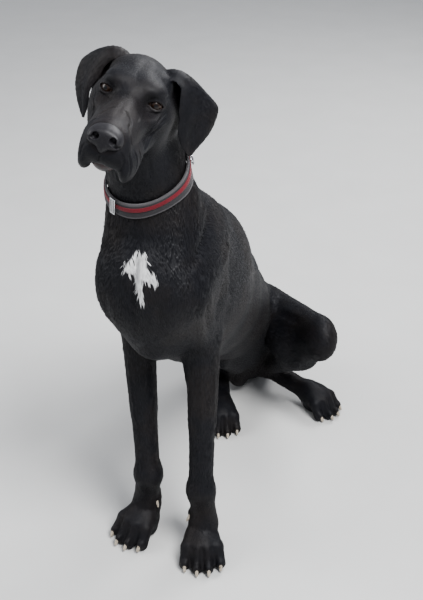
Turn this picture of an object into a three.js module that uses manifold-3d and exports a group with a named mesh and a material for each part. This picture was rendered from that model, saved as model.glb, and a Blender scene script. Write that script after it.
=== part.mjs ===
// A sitting great dane, life size, in millimetres. +Z is up, the dog faces -Y and its left is +X.
// The body is one field of smoothly joined limbs and lumps, walked into surfaces piece by piece,
// and parted by thin cuts into head, neck, torso, legs, feet, ears and tail.
import * as THREE from "three";
import { edgeTable, triTable } from "three/addons/objects/MarchingCubes.js";
import { mergeVertices } from "three/addons/utils/BufferGeometryUtils.js";
import Module from "manifold-3d";

const wasm = await Module();
wasm.setup();

// Driving sizes
const GAP = 0.3; // left between touching pieces
const EYE_SPACING = 70; // between the centres of the eyeballs
const EYE_RADIUS = 12.5;
const EYE_OUTLOOK = 20; // degrees each eye looks outwards
const LID_THICKNESS = 2.4;
const HEAD_TURN = 13.1; // degrees towards the dog's left
const HEAD_RAISE = 8.2; // degrees, muzzle up
const HEAD_TILT = 18.1; // degrees, crown towards the dog's left
const EAR_THICKNESS = 5;
const CLAW_RADIUS = 5.2;
const CLAW = [[-2, 19, 1], [6, 18, 1], [11.5, 14, 0.88], [15, 9, 0.72], [16.8, 4.2, 0.45]]; // ahead, up, size
const DEWCLAW = [[20, 90, 0.7], [25, 82, 0.7], [30, 73, 0.5], [32, 67, 0.2]]; // inwards, up, size
const COLLAR_WIDTH = 23;
const COLLAR_THICKNESS = 4;
const STRIPE_WIDTH = 6.4;
const STRIPE_RISE = 2.8; // above the middle of the webbing

const at = (x, y, z) => new THREE.Vector3(x, y, z);
const radians = THREE.MathUtils.degToRad;
const lerp = THREE.MathUtils.lerp;
const clamp = THREE.MathUtils.clamp;
const SIDES = { left: 1, right: -1 };
const ACROSS = at(1, 0, 0);

// Clay: a stroke is one limb or lump of the field, added or cut with a rounded join
function limb(from, to, fromRadius, toRadius, { across = null, ratio = 1, blend = 20 } = {}) {
  const axis = to.clone().sub(from);
  const span = axis.lengthSq();
  const squeeze = 1 / ratio - 1;
  const side = across ?? at(0, 0, 0);
  return {
    blend,
    centre: from.clone().lerp(to, 0.5),
    reach: Math.sqrt(span) / 2 + Math.max(fromRadius, toRadius) * Math.max(1, ratio),
    distance(x, y, z) {
      let dx = x - from.x;
      let dy = y - from.y;
      let dz = z - from.z;
      const t = clamp((dx * axis.x + dy * axis.y + dz * axis.z) / span, 0, 1);
      dx -= t * axis.x;
      dy -= t * axis.y;
      dz -= t * axis.z;
      const s = (dx * side.x + dy * side.y + dz * side.z) * squeeze;
      return Math.hypot(dx + s * side.x, dy + s * side.y, dz + s * side.z) - lerp(fromRadius, toRadius, t);
    },
  };
}

function lump(centre, radii, { axes = WORLD, blend = 15 } = {}) {
  const [a, b, c] = radii;
  const [f, l, u] = axes;
  return {
    blend,
    centre,
    reach: Math.max(a, b, c),
    distance(x, y, z) {
      const dx = x - centre.x;
      const dy = y - centre.y;
      const dz = z - centre.z;
      const p = (dx * f.x + dy * f.y + dz * f.z) / a;
      const q = (dx * l.x + dy * l.y + dz * l.z) / b;
      const r = (dx * u.x + dy * u.y + dz * u.z) / c;
      const near = Math.hypot(p, q, r);
      return near < 1e-6 ? -Math.min(a, b, c) : (near * (near - 1)) / Math.hypot(p / a, q / b, r / c);
    },
  };
}

const cut = (stroke) => ({ ...stroke, removes: true });

// Limbs end to end, through points given as [point, radius]
const chain = (stops, shape) =>
  stops.slice(1).map(([to, radius], i) => limb(stops[i][0], to, stops[i][1], radius, shape));

const WORLD = [at(0, -1, 0), at(1, 0, 0), at(0, 0, 1)]; // forward, left, up

// A frame with its own forward, left and up: turn is to the left, raise is up, tilt leans its top left
function frameAt(origin, turn, raise = 0, tilt = 0) {
  const turned = new THREE.Quaternion().setFromAxisAngle(WORLD[2], radians(turn));
  const raised = new THREE.Quaternion().setFromAxisAngle(WORLD[1], radians(-raise));
  const tilted = new THREE.Quaternion().setFromAxisAngle(WORLD[0], radians(-tilt));
  const spin = turned.multiply(raised).multiply(tilted);
  const axes = WORLD.map((v) => v.clone().applyQuaternion(spin));
  const place = (f, l, u) =>
    origin.clone().addScaledVector(axes[0], f).addScaledVector(axes[1], l).addScaledVector(axes[2], u);
  return { origin, axes, place };
}

// Joints of the sitting dog
const head = frameAt(at(-6, -100, 949), HEAD_TURN, HEAD_RAISE, HEAD_TILT);
const onHead = head.place;
const NECK = [
  [at(-18, 60, 640), 88],
  [at(-27, 18, 730), 69],
  [at(-35, 0, 830), 58],
  [onHead(-92, 0, -14), 50],
];
const SPINE = [
  [at(-18, 45, 590), 148],
  [at(-22, 187, 488), 146],
  [at(-30, 312, 392), 122],
  [at(-40, 425, 300), 108],
  [at(-50, 535, 205), 104],
  [at(-56, 590, 110), 98],
];
const FORELEG = {
  left: { shoulder: at(48, -38, 602), elbow: at(44, 62, 452), wrist: at(58, 6, 142), paw: [66, -12, 22] },
  right: { shoulder: at(-64, -38, 600), elbow: at(-86, 62, 452), wrist: at(-52, 8, 150), paw: [-66, 6, -18] },
};
const HINDLEG = {
  left: { hip: at(26, 585, 188), knee: at(175, 424, 265), hock: at(12, 578, 58), paw: [150, 530, 64] },
  right: { hip: at(-120, 555, 188), knee: at(-163, 380, 262), hock: at(-104, 560, 58), paw: [-38, 400, 22] },
};
const TAIL = [
  [at(-62, 668, 66), 26],
  [at(-66, 735, 24), 21],
  [at(-84, 820, 17), 17],
  [at(-122, 905, 13.5), 13.5],
  [at(-180, 985, 10), 10],
  [at(-250, 1050, 6.5), 6],
];

// Torso: rib cage, belly, loin and rump, with the shoulders and the chest muscles over them
const torso = [
  ...SPINE.slice(1).map(([to, radius], i) =>
    limb(SPINE[i][0], to, SPINE[i][1], radius, { across: ACROSS, ratio: lerp(0.68, 0.86, i / 4), blend: 40 }),
  ),
  lump(at(-18, -42, 628), [48, 46, 62], { blend: 40 }),
  lump(at(-18, 75, 474), [120, 50, 42], { blend: 40 }),
  limb(at(-22, 112, 636), at(-26, 290, 514), 56, 54, { blend: 50 }),
  lump(at(-56, 628, 62), [62, 88, 66], { blend: 40 }),
];

const neck = chain(NECK, { across: ACROSS, ratio: 0.92, blend: 40 });

function shoulderOf(side, { shoulder, elbow }) {
  const out = SIDES[side];
  const blade = at(-20 + out * 38, 130, 648);
  return [
    limb(shoulder, blade, 36, 28, { blend: 40 }),
    limb(shoulder, elbow, 38, 32, { across: ACROSS, ratio: 0.85, blend: 26 }),
    limb(at(-20 + out * 42, 8, 748), at(-20 + out * 45, -34, 640), 28, 36, { blend: 30 }),
    lump(at(elbow.x + out * 4, 84, 540), [46, 26, 70], { blend: 26 }),
    lump(at(-18 + out * 34, -56, 590), [34, 37, 58], { blend: 30 }),
  ];
}

function forelegOf(side, { elbow, wrist, paw }) {
  const inner = -SIDES[side];
  const muscle = elbow.clone().lerp(wrist, 0.55);
  const ankle = at(paw[0], paw[1] + 18, 62);
  return [
    limb(elbow, muscle, 37, 27, { across: ACROSS, ratio: 0.8, blend: 16 }),
    limb(elbow, wrist, 27, 23, { blend: 14 }),
    limb(elbow, at(elbow.x, elbow.y + 34, elbow.z + 8), 22, 18, { blend: 20 }),
    limb(at(elbow.x + inner * 24, 50, 432), at(elbow.x + inner * 14, 44, 374), 17, 12, { blend: 16 }),
    lump(wrist, [24, 25, 29], { blend: 14 }),
    lump(at(wrist.x, wrist.y + 22, wrist.z - 22), [12, 13, 14], { blend: 10 }),
    limb(wrist, ankle, 23, 24, { across: ACROSS, ratio: 1.08, blend: 14 }),
    limb(at(ankle.x + inner * 20, ankle.y + 6, 92), at(ankle.x + inner * 27, ankle.y - 2, 82), 9, 7, { blend: 6 }),
  ];
}

// A foot is a frame on the ground, heading where it points, with four toes fanned across it
const FOOT_SIZE = { fore: 0.93, hind: 0.87 };
const footFrame = ([x, y, turn]) => frameAt(at(x, y, 0), turn);
const TOES = [-1.5, -0.5, 0.5, 1.5].map((place) => ({
  place,
  root: [4, 13 * place, 48],
  knuckle: [38 - 4.5 * place ** 2, 20.5 * place, 40],
  tip: [63 - 7 * place ** 2, 24.5 * place, 12],
}));

function footOf(frame, fore) {
  const { axes, place } = frame;
  const shrink = FOOT_SIZE[fore ? "fore" : "hind"];
  const spot = ([f, l, u]) => place(f * shrink, l * shrink, u * shrink);
  const toes = TOES.flatMap(({ root, knuckle, tip }) => [
    limb(spot(root), spot(knuckle), 15 * shrink, 14 * shrink, { blend: 6 }),
    limb(spot(knuckle), spot(tip), 14 * shrink, 12.5 * shrink, { blend: 5 }),
  ]);
  return [
    ...toes,
    lump(place(0, 0, 30 * shrink), [36 * shrink, 34 * shrink, 30 * shrink], { axes, blend: 12 }),
    lump(place(2, 0, 10), [32 * shrink, 32 * shrink, 14], { axes, blend: 6 }),
  ];
}

function hindlegOf(side, { hip, knee, hock, paw }) {
  const femur = knee.clone().sub(hip);
  const shin = hock.clone().sub(knee);
  const flat = femur.clone().cross(shin).normalize();
  const back = flat.clone().cross(shin).normalize();
  back.multiplyScalar(-Math.sign(back.dot(femur)));
  const instep = footFrame(paw).place(-14, 0, 36);
  const calf = knee.clone().lerp(hock, 0.3).addScaledVector(back, -16);
  const thighMiddle = hip.clone().lerp(knee, 0.5);
  return [
    limb(hip, knee, 76, 50, { across: flat, ratio: 0.66, blend: 34 }),
    lump(thighMiddle.clone().addScaledVector(back, -30), [60, 68, 60], { blend: 34 }),
    limb(knee, hock, 40, 23, { across: flat, ratio: 0.8, blend: 24 }),
    limb(calf, hock, 34, 15, { across: flat, ratio: 0.75, blend: 20 }),
    lump(hock, [27, 24, 26], { blend: 12 }),
    limb(hock, instep, 23, 22, { blend: 12 }),
  ];
}

// Head, on its own frame: forward, left and up from the point between the eyes
const headLump = (place, radii, blend = 12) => lump(onHead(...place), radii, { axes: head.axes, blend });
const headLimb = (from, to, fromRadius, toRadius, ratio = 1, blend = 14) =>
  limb(onHead(...from), onHead(...to), fromRadius, toRadius, { across: head.axes[1], ratio, blend });
const eyeOf = (side) => {
  const look = radians(EYE_OUTLOOK) * SIDES[side];
  const out = head.axes[0].clone().multiplyScalar(Math.cos(look)).addScaledVector(head.axes[1], Math.sin(look));
  return { centre: onHead(-9, (SIDES[side] * EYE_SPACING) / 2, 0), out };
};
const FLEW_SAG = 7; // the lips hang towards the ground, which is sideways on a tilted head

function faceOf(side) {
  const s = SIDES[side];
  return [
    headLimb([6, s * 37, -24], [-80, s * 46, -20], 14, 21),
    headLump([-9, s * 28, 17], [20, 16, 12], 16),
    headLump([-46, s * 42, -42], [40, 19, 36], 20),
    headLimb([14, s * 15, -30], [106, s * 13, -42], 24, 22, 1, 14),
    headLimb([108, s * 15 + FLEW_SAG / 2, -58], [56, s * 24 + FLEW_SAG / 2, -60], 20, 17, 1, 12),
    headLump([84, s * 30 + FLEW_SAG, -74], [36, 13, 24], 12),
    headLimb([62, s * 25 + FLEW_SAG / 2, -66], [2, s * 33, -58], 16, 17, 1, 12),
    headLimb([-56, s * 34, 22], [-92, s * 38, 10], 12, 13, 1, 14),
    headLimb([-84, s * 55, 6], [-88, s * 54, -40], 16, 19, 1, 14),
    cut(headLump([14, s * 41, 0], [11, 15, 11], 8)),
    cut(headLump([30, s * 36, 2], [20, 10, 12], 14)),
    lump(eyeOf(side).centre, Array(3).fill(EYE_RADIUS + GAP + LID_THICKNESS), { blend: 6 }),
  ];
}

const skull = [
  headLimb([-30, 0, -8], [-96, 0, -3], 46, 42, 1.22, 20),
  headLump([-134, 0, 12], [18, 18, 15], 16),
  headLump([-60, -8, 26], [40, 34, 22], 22),
  headLimb([-4, 0, -7], [112, 0, -30], 21, 16, 1.12, 18),
  headLump([-14, 0, 12], [24, 24, 18], 18),
  headLump([116, 0, -54], [18, 26, 18], 10),
  headLimb([-10, 0, -56], [-90, 0, -40], 34, 50, 1, 30),
  limb(onHead(-40, 0, -62), at(-26, -14, 800), 34, 44, { blend: 40 }),
];
const MOUTH = [
  [onHead(88, 2, -79), 14],
  [onHead(40, 0, -80), 16.5],
  [onHead(-50, 0, -68), 28],
];
const jawParts = chain(MOUTH, { across: head.axes[1], ratio: 1.3, blend: 10 });
const mouthStops = MOUTH.slice(0, 2).map(([point, radius]) => [point, radius + 2.2]);
const mouthCut = chain(mouthStops, { across: head.axes[1], ratio: 1.3, blend: 3 });

const sheath = [
  limb(at(-38, 400, 175), at(-32, 478, 108), 20, 15, { blend: 24 }),
  lump(at(-42, 532, 42), [22, 22, 25], { blend: 12 }),
];

const feet = {
  fore_left: footFrame(FORELEG.left.paw),
  fore_right: footFrame(FORELEG.right.paw),
  hind_left: footFrame(HINDLEG.left.paw),
  hind_right: footFrame(HINDLEG.right.paw),
};

const body = [
  ...torso,
  ...neck,
  ...Object.keys(SIDES).flatMap((side) => [
    ...shoulderOf(side, FORELEG[side]),
    ...forelegOf(side, FORELEG[side]),
    ...hindlegOf(side, HINDLEG[side]),
  ]),
  ...Object.entries(feet).flatMap(([name, frame]) => footOf(frame, name.startsWith("fore"))),
  ...sheath,
  ...chain(TAIL, { blend: 12 }),
  ...skull,
  ...faceOf("left"),
  ...faceOf("right"),
  ...mouthCut.map(cut),
];

// Signed distance to the strokes together, negative inside
function fieldOf(strokes) {
  return (x, y, z) => {
    let d = 400;
    for (const { distance, blend, centre, reach, removes } of strokes) {
      const least = Math.hypot(x - centre.x, y - centre.y, z - centre.z) - reach;
      if (least > (removes ? blend - d : blend + d)) continue;
      const e = removes ? -distance(x, y, z) : distance(x, y, z);
      const join = Math.max(blend - Math.abs(d - e), 0) ** 2 / (4 * blend);
      d = removes ? Math.max(d, e) + join : Math.min(d, e) - join;
    }
    return d;
  };
}

// Marching cubes over a box, with points shared between cells
const CORNERS = [
  [0, 0, 0], [1, 0, 0], [1, 1, 0], [0, 1, 0],
  [0, 0, 1], [1, 0, 1], [1, 1, 1], [0, 1, 1],
];
const EDGES = [
  [0, 1], [1, 2], [2, 3], [3, 0], [4, 5], [5, 6],
  [6, 7], [7, 4], [0, 4], [1, 5], [2, 6], [3, 7],
];

function surfaceOf(field, box, step) {
  const size = box.getSize(at(0, 0, 0));
  const [nx, ny, nz] = [size.x, size.y, size.z].map((length) => Math.ceil(length / step) + 1);
  const value = new Float64Array(nx * ny * nz);
  const least = 0.05 * step; // keeps every crossing clear of the corners
  const index = (i, j, k) => (k * ny + j) * nx + i;
  const point = (i, j, k) => [box.min.x + i * step, box.min.y + j * step, box.min.z + k * step];
  for (let k = 0; k < nz; k++)
    for (let j = 0; j < ny; j++)
      for (let i = 0; i < nx; i++) {
        const rim = i === 0 || j === 0 || k === 0 || i === nx - 1 || j === ny - 1 || k === nz - 1;
        const d = field(...point(i, j, k));
        const clear = Math.abs(d) > least ? d : d < 0 ? -least : least;
        value[index(i, j, k)] = rim ? Math.max(d, step / 2) : clear;
      }
  const points = [];
  const faces = [];
  const known = new Map();
  const crossing = (a, b) => {
    const [ia, ib] = [index(...a), index(...b)];
    const key = Math.min(ia, ib) * value.length + Math.max(ia, ib);
    if (!known.has(key)) {
      const t = value[ia] / (value[ia] - value[ib]);
      const [p, q] = [point(...a), point(...b)];
      known.set(key, points.length);
      points.push(p.map((c, n) => lerp(c, q[n], t)));
    }
    return known.get(key);
  };
  for (let k = 0; k < nz - 1; k++)
    for (let j = 0; j < ny - 1; j++)
      for (let i = 0; i < nx - 1; i++) {
        const cell = CORNERS.map(([a, b, c]) => [i + a, j + b, k + c]);
        const inside = cell.reduce((bits, c, n) => bits | (value[index(...c)] < 0 ? 1 << n : 0), 0);
        if (!edgeTable[inside]) continue;
        for (let n = inside * 16; triTable[n] >= 0; n += 3)
          faces.push([0, 1, 2].map((m) => crossing(...EDGES[triTable[n + m]].map((c) => cell[c]))));
      }
  return facingOut({ points, faces });
}

function facingOut(mesh) {
  const { points, faces } = mesh;
  const volume = faces.reduce((sum, [a, b, c]) => {
    const [p, q, r] = [points[a], points[b], points[c]];
    return sum + at(...p).dot(at(...q).cross(at(...r)));
  }, 0);
  return volume < 0 ? { points, faces: faces.map(([a, b, c]) => [a, c, b]) } : mesh;
}

// Fewer triangles: edges are folded away, the one that changes the surface least first
function coarsened({ points, faces }, target, longest = Infinity) {
  const pts = points.map((p) => [...p]);
  const tris = faces.map((f) => [...f]);
  const live = new Uint8Array(tris.length).fill(1);
  const version = new Uint32Array(pts.length);
  const fans = pts.map(() => new Set());
  const quadrics = pts.map(() => new Float64Array(10));
  const normalOf = (p, q, r) => {
    const [ux, uy, uz] = [q[0] - p[0], q[1] - p[1], q[2] - p[2]];
    const [vx, vy, vz] = [r[0] - p[0], r[1] - p[1], r[2] - p[2]];
    return [uy * vz - uz * vy, uz * vx - ux * vz, ux * vy - uy * vx];
  };
  tris.forEach((tri, n) => {
    const [p, q, r] = tri.map((v) => pts[v]);
    const normal = normalOf(p, q, r);
    const area = Math.hypot(...normal) || 1e-12;
    const [a, b, c] = normal.map((x) => x / area);
    const d = -(a * p[0] + b * p[1] + c * p[2]);
    const plane = [a * a, a * b, a * c, a * d, b * b, b * c, b * d, c * c, c * d, d * d];
    for (const v of tri) {
      fans[v].add(n);
      plane.forEach((x, m) => (quadrics[v][m] += x * area));
    }
  });
  const costAt = (q, [x, y, z]) =>
    q[0] * x * x + 2 * q[1] * x * y + 2 * q[2] * x * z + 2 * q[3] * x + q[4] * y * y +
    2 * q[5] * y * z + 2 * q[6] * y + q[7] * z * z + 2 * q[8] * z + q[9];
  const shapeOf = (corners, normal) => {
    const sides = corners.map((p, m) => Math.hypot(...p.map((x, c) => x - corners[(m + 1) % 3][c])));
    return Math.hypot(...normal) / Math.max(...sides) ** 2;
  };
  const solver = new THREE.Matrix3();
  const foldOf = (u, v) => {
    const q = quadrics[u].map((x, m) => x + quadrics[v][m]);
    const middle = pts[u].map((x, m) => (x + pts[v][m]) / 2);
    const spots = [pts[u], pts[v], middle];
    solver.set(q[0], q[1], q[2], q[1], q[4], q[5], q[2], q[5], q[7]);
    const size = q[0] + q[4] + q[7];
    if (Math.abs(solver.determinant()) > 1e-4 * size ** 3) {
      const best = at(-q[3], -q[6], -q[8]).applyMatrix3(solver.invert());
      const length = at(...pts[u]).distanceTo(at(...pts[v]));
      if (best.distanceTo(at(...middle)) < 2 * length) spots.push(best.toArray());
    }
    const costs = spots.map((spot) => costAt(q, spot));
    const least = costs.indexOf(Math.min(...costs));
    const length = at(...pts[u]).distanceToSquared(at(...pts[v]));
    const cost = Math.max(costs[least], 0) + 1e-4 * length;
    return { u, v, q, spot: spots[least], cost, length, stamps: [version[u], version[v]] };
  };
  const heap = [];
  const push = (item) => {
    if (item.length > longest ** 2) return;
    let n = heap.push(item) - 1;
    while (n > 0 && heap[(n - 1) >> 1].cost > heap[n].cost) {
      [heap[n], heap[(n - 1) >> 1]] = [heap[(n - 1) >> 1], heap[n]];
      n = (n - 1) >> 1;
    }
  };
  const pop = () => {
    const top = heap[0];
    const last = heap.pop();
    if (heap.length) {
      heap[0] = last;
      for (let n = 0; ; ) {
        const [a, b] = [2 * n + 1, 2 * n + 2];
        let least = n;
        if (a < heap.length && heap[a].cost < heap[least].cost) least = a;
        if (b < heap.length && heap[b].cost < heap[least].cost) least = b;
        if (least === n) break;
        [heap[n], heap[least]] = [heap[least], heap[n]];
        n = least;
      }
    }
    return top;
  };
  const neighbours = (v) => new Set([...fans[v]].flatMap((n) => tris[n]).filter((w) => w !== v));
  tris.forEach(([a, b, c]) => {
    for (const [u, v] of [[a, b], [b, c], [c, a]]) if (u < v) push(foldOf(u, v));
  });
  let count = tris.length;
  while (count > target && heap.length) {
    const { u, v, q, spot, stamps } = pop();
    if (version[u] !== stamps[0] || version[v] !== stamps[1]) continue;
    const around = neighbours(v);
    const shared = [...neighbours(u)].filter((w) => around.has(w));
    if (shared.length !== 2) continue;
    const kept = [...fans[u], ...fans[v]].filter((n) => !(tris[n].includes(u) && tris[n].includes(v)));
    const turns = kept.some((n) => {
      const before = normalOf(...tris[n].map((w) => pts[w]));
      const corners = tris[n].map((w) => (w === u || w === v ? spot : pts[w]));
      const after = normalOf(...corners);
      const fit = shapeOf(corners, after);
      const fitBefore = shapeOf(tris[n].map((w) => pts[w]), before);
      const dot = before[0] * after[0] + before[1] * after[1] + before[2] * after[2];
      const turned = dot < 0.2 * Math.hypot(...before) * Math.hypot(...after);
      return (turned && fitBefore > 0.03) || (longest === Infinity && fit < 0.08 && fit < fitBefore);
    });
    if (turns) continue;
    for (const n of [...fans[v]]) {
      if (tris[n].includes(u)) {
        live[n] = 0;
        count--;
        tris[n].forEach((w) => fans[w].delete(n));
      } else {
        tris[n][tris[n].indexOf(v)] = u;
        fans[u].add(n);
      }
    }
    fans[v].clear();
    pts[u] = spot;
    quadrics[u] = q;
    version[u]++;
    version[v]++;
    for (const w of neighbours(u)) push(foldOf(Math.min(u, w), Math.max(u, w)));
  }
  const used = new Map();
  const renumbered = tris.filter((_, n) => live[n]).map((tri) =>
    tri.map((v) => {
      if (!used.has(v)) used.set(v, used.size);
      return used.get(v);
    }),
  );
  return { points: [...used.keys()].map((v) => pts[v]), faces: renumbered };
}

// Between plain meshes, three.js geometries and solids that can be joined and cut
const solidOf = ({ points, faces }) =>
  new wasm.Manifold(
    new wasm.Mesh({
      numProp: 3,
      vertProperties: new Float32Array(points.flat()),
      triVerts: new Uint32Array(faces.flat()),
    }),
  );

function solidOfGeometry(geometry) {
  const bare = geometry.clone();
  bare.deleteAttribute("normal");
  bare.deleteAttribute("uv");
  const merged = mergeVertices(bare, 1e-4);
  const vertProperties = new Float32Array(merged.attributes.position.array);
  const triVerts = new Uint32Array(merged.index.array);
  return new wasm.Manifold(new wasm.Mesh({ numProp: 3, vertProperties, triVerts }));
}

// Slivers that cutting leaves are folded away on the way back to a geometry
const SHORTEST_EDGE = 0.15;
function geometryOf(solid) {
  const { vertProperties, triVerts } = solid.getMesh();
  const count = vertProperties.length / 3;
  const points = Array.from({ length: count }, (_, n) => [...vertProperties.slice(3 * n, 3 * n + 3)]);
  const faces = Array.from({ length: triVerts.length / 3 }, (_, n) => [...triVerts.slice(3 * n, 3 * n + 3)]);
  return geometryOfMesh(parted(coarsened({ points, faces }, 0, SHORTEST_EDGE)));
}
function geometryOfMesh({ points, faces }) {
  const geometry = new THREE.BufferGeometry();
  geometry.setAttribute("position", new THREE.Float32BufferAttribute(points.flat(), 3));
  geometry.setIndex(faces.flat());
  return geometry;
}

// Where two sheets of one surface touch in a point, each draws back into its own side
function parted(mesh) {
  const near = (p) => p.map((x) => Math.round(x * 50)).join();
  const counts = new Map();
  for (const p of mesh.points) counts.set(near(p), (counts.get(near(p)) ?? 0) + 1);
  const back = swelled(mesh, -0.04).points;
  return { points: mesh.points.map((p, n) => (counts.get(near(p)) > 1 ? back[n] : p)), faces: mesh.faces };
}

const largest = (solid) => solid.decompose().reduce((a, b) => (b.volume() > a.volume() ? b : a));

const BLOCK = 3000;

// A skin stretched over rings of points, each ring closed, with flat ends
function lofted(rings) {
  const sides = rings[0].length;
  const points = rings.flat().map((p) => p.toArray());
  const faces = [];
  rings.slice(1).forEach((_, r) => {
    for (let s = 0; s < sides; s++) {
      const [a, b] = [r * sides + s, r * sides + ((s + 1) % sides)];
      faces.push([a, b, b + sides], [a, b + sides, a + sides]);
    }
  });
  for (const r of [0, rings.length - 1]) {
    const middle = rings[r].reduce((sum, p) => sum.add(p), at(0, 0, 0)).divideScalar(sides);
    points.push(middle.toArray());
    for (let s = 0; s < sides; s++) {
      const edge = [r * sides + s, r * sides + ((s + 1) % sides)];
      faces.push([...(r ? edge : edge.reverse()), points.length - 1]);
    }
  }
  return facingOut({ points, faces });
}

// The same mesh swelled along its normals
function swelled({ points, faces }, by) {
  const geometry = geometryOfMesh({ points, faces });
  geometry.computeVertexNormals();
  const { array } = geometry.attributes.normal;
  return { points: points.map((p, n) => p.map((x, m) => x + by * array[3 * n + m])), faces };
}

// A round bar along points given as [point, radius], flattened across if asked
function bar(stops, { sides = 8, across = null, ratio = 1, grow = 0 } = {}) {
  const last = stops.length - 1;
  const rings = stops.map(([point, radius], n) => {
    const along = stops[Math.min(n + 1, last)][0].clone().sub(stops[Math.max(n - 1, 0)][0]).normalize();
    const u = (across ?? at(0.31, 0.17, 0.93)).clone();
    u.addScaledVector(along, -u.dot(along)).normalize();
    const v = along.clone().cross(u);
    const middle = point.clone().addScaledVector(along, n === 0 ? -grow : n === last ? grow : 0);
    return Array.from({ length: sides }, (_, k) => {
      const angle = (2 * Math.PI * k) / sides;
      const [wide, high] = [radius * ratio + grow, radius + grow];
      return middle.clone().addScaledVector(u, wide * Math.cos(angle)).addScaledVector(v, high * Math.sin(angle));
    });
  });
  return lofted(rings);
}

// A region is a part of space with a thin gap around it: beyond a plane, or nearer to some strokes
const boxOf = (x0, y0, z0, x1, y1, z1) => new THREE.Box3(at(x0, y0, z0), at(x1, y1, z1));
const boxAround = (strokes, margin) =>
  new THREE.Box3().setFromPoints(strokes.map((stroke) => stroke.centre)).expandByScalar(margin);
function beyond(point, normal, gap = GAP / 2) {
  const n = normal.clone().normalize();
  return {
    distance: (x, y, z) => (point.x - x) * n.x + (point.y - y) * n.y + (point.z - z) * n.z,
    keep: (solid) => cutBy(solid, point, n, gap),
    remove: (solid) => cutBy(solid, point, n.clone().negate(), gap),
  };
}
function cutBy(solid, point, normal, gap) {
  const block = new THREE.BoxGeometry(BLOCK, BLOCK, BLOCK).translate(0, 0, -BLOCK / 2 + gap);
  block.applyQuaternion(new THREE.Quaternion().setFromUnitVectors(at(0, 0, 1), normal));
  return solid.subtract(solidOfGeometry(block.translate(...point.toArray())));
}
function nearerTo(strokes, others, box) {
  const [near, far] = [fieldOf(strokes), fieldOf(others)];
  const distance = (x, y, z) => (near(x, y, z) - far(x, y, z)) / 2;
  const mesh = coarsened(surfaceOf(distance, box, 18), 260);
  return {
    distance,
    keep: (solid) => solid.intersect(solidOf(swelled(mesh, -GAP / 2))),
    remove: (solid) => solid.subtract(solidOf(swelled(mesh, GAP / 2))),
  };
}

const whole = fieldOf(body);
const floor = beyond(at(0, 0, 0), at(0, 0, 1), 0);
const headSpace = beyond(onHead(-112, 0, -20), head.axes[0].clone().addScaledVector(head.axes[2], 0.42));
const neckSpace = beyond(at(-20, 40, 705), at(0, -0.36, 1));
const tailSpace = beyond(at(-63, 690, 50), at(0, 1, -0.35));
const tailCuts = [beyond(TAIL[2][0], at(-0.25, 1, 0)), beyond(TAIL[4][0], at(-0.65, 0.8, 0))];

function legSpaces(side) {
  const fore = forelegOf(side, FORELEG[side]);
  const hind = hindlegOf(side, HINDLEG[side]);
  const { hip, knee, hock, paw } = HINDLEG[side];
  const trunk = [...torso, ...Object.keys(SIDES).flatMap((each) => shoulderOf(each, FORELEG[each]))];
  const hindParts = [...hind, ...footOf(feet[`hind_${side}`], false)];
  const foreParts = [...fore, ...footOf(feet[`fore_${side}`], true)];
  const fold = hip.clone().add(hock).multiplyScalar(0.5).sub(knee);
  const up = hip.clone().sub(knee).cross(hock.clone().sub(knee)).cross(fold);
  if (up.z < 0) up.negate();
  const toFoot = at(paw[0] - hock.x, paw[1] - hock.y, -20).normalize();
  const toKnee = knee.clone().sub(hock).normalize();
  return {
    side,
    fore: nearerTo(foreParts, trunk, boxAround(foreParts, 120)),
    paw: beyond(FORELEG[side].wrist.clone().add(at(0, 0, -42)), at(0, 0, -1)),
    hind: nearerTo(hindParts, [...trunk, ...sheath], boxAround(hindParts, 130)),
    thigh: beyond(knee, up),
    foot: beyond(hock, toFoot.clone().sub(toKnee)),
  };
}
const legs = Object.keys(SIDES).map(legSpaces);

// One piece of flesh: inside some regions and outside others
function fleshOf(box, step, triangles, inside, outside = []) {
  const field = (x, y, z) => {
    const edges = [...inside.map((r) => r.distance(x, y, z)), ...outside.map((r) => -r.distance(x, y, z))];
    return Math.max(whole(x, y, z), ...edges.map((d) => d - 1.5 * step));
  };
  const clay = solidOf(coarsened(surfaceOf(field, box, step), triangles));
  const kept = inside.reduce((rest, region) => region.keep(rest), clay);
  return largest(outside.reduce((rest, region) => region.remove(rest), kept));
}

const COLOURS = {
  coat: 0x17171b,
  nose: 0x0c0c0e,
  eye: 0x1d120a,
  claw: 0xb9b2a6,
  webbing: 0x3b3a3f,
  red: 0xa8242c,
  steel: 0xc4c6c8,
};
const materialOf = (colour, roughness, metalness = 0) =>
  new THREE.MeshStandardMaterial({ color: colour, roughness, metalness });
const coat = materialOf(COLOURS.coat, 0.45);
const horn = materialOf(COLOURS.claw, 0.4);

const dog = new THREE.Group();
function add(name, solid, material) {
  const mesh = new THREE.Mesh(geometryOf(solid), material);
  mesh.name = name;
  dog.add(mesh);
}

// Ears: a flap between a front and a rear edge, from the skull over the fold and down to the tip
const EARS = {
  left: {
    front: [
      [-52, 24, 6], [-50, 44, 31], [-50, 60, 25], [-48, 66, 2],
      [-48, 72, -20], [-50, 78, -40], [-56, 88, -58], [-66, 101, -71],
    ],
    rear: [
      [-92, 24, 4], [-98, 51, 24], [-106, 87, 22], [-110, 118, 8],
      [-108, 123, -14], [-100, 120, -38], [-90, 113, -56], [-75, 106, -72],
    ],
  },
  right: {
    front: [
      [-52, -24, 6], [-52, -43, 32], [-56, -55, 24], [-58, -63, 2],
      [-58, -71, -22], [-57, -69, -42], [-60, -67, -59], [-66, -69, -72],
    ],
    rear: [
      [-92, -24, 4], [-98, -49, 26], [-105, -81, 24], [-108, -103, 4],
      [-105, -104, -24], [-95, -95, -46], [-82, -82, -63], [-73, -72, -73],
    ],
  },
};
const EAR_RINGS = 12;
const EAR_STEPS = 8;

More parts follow.
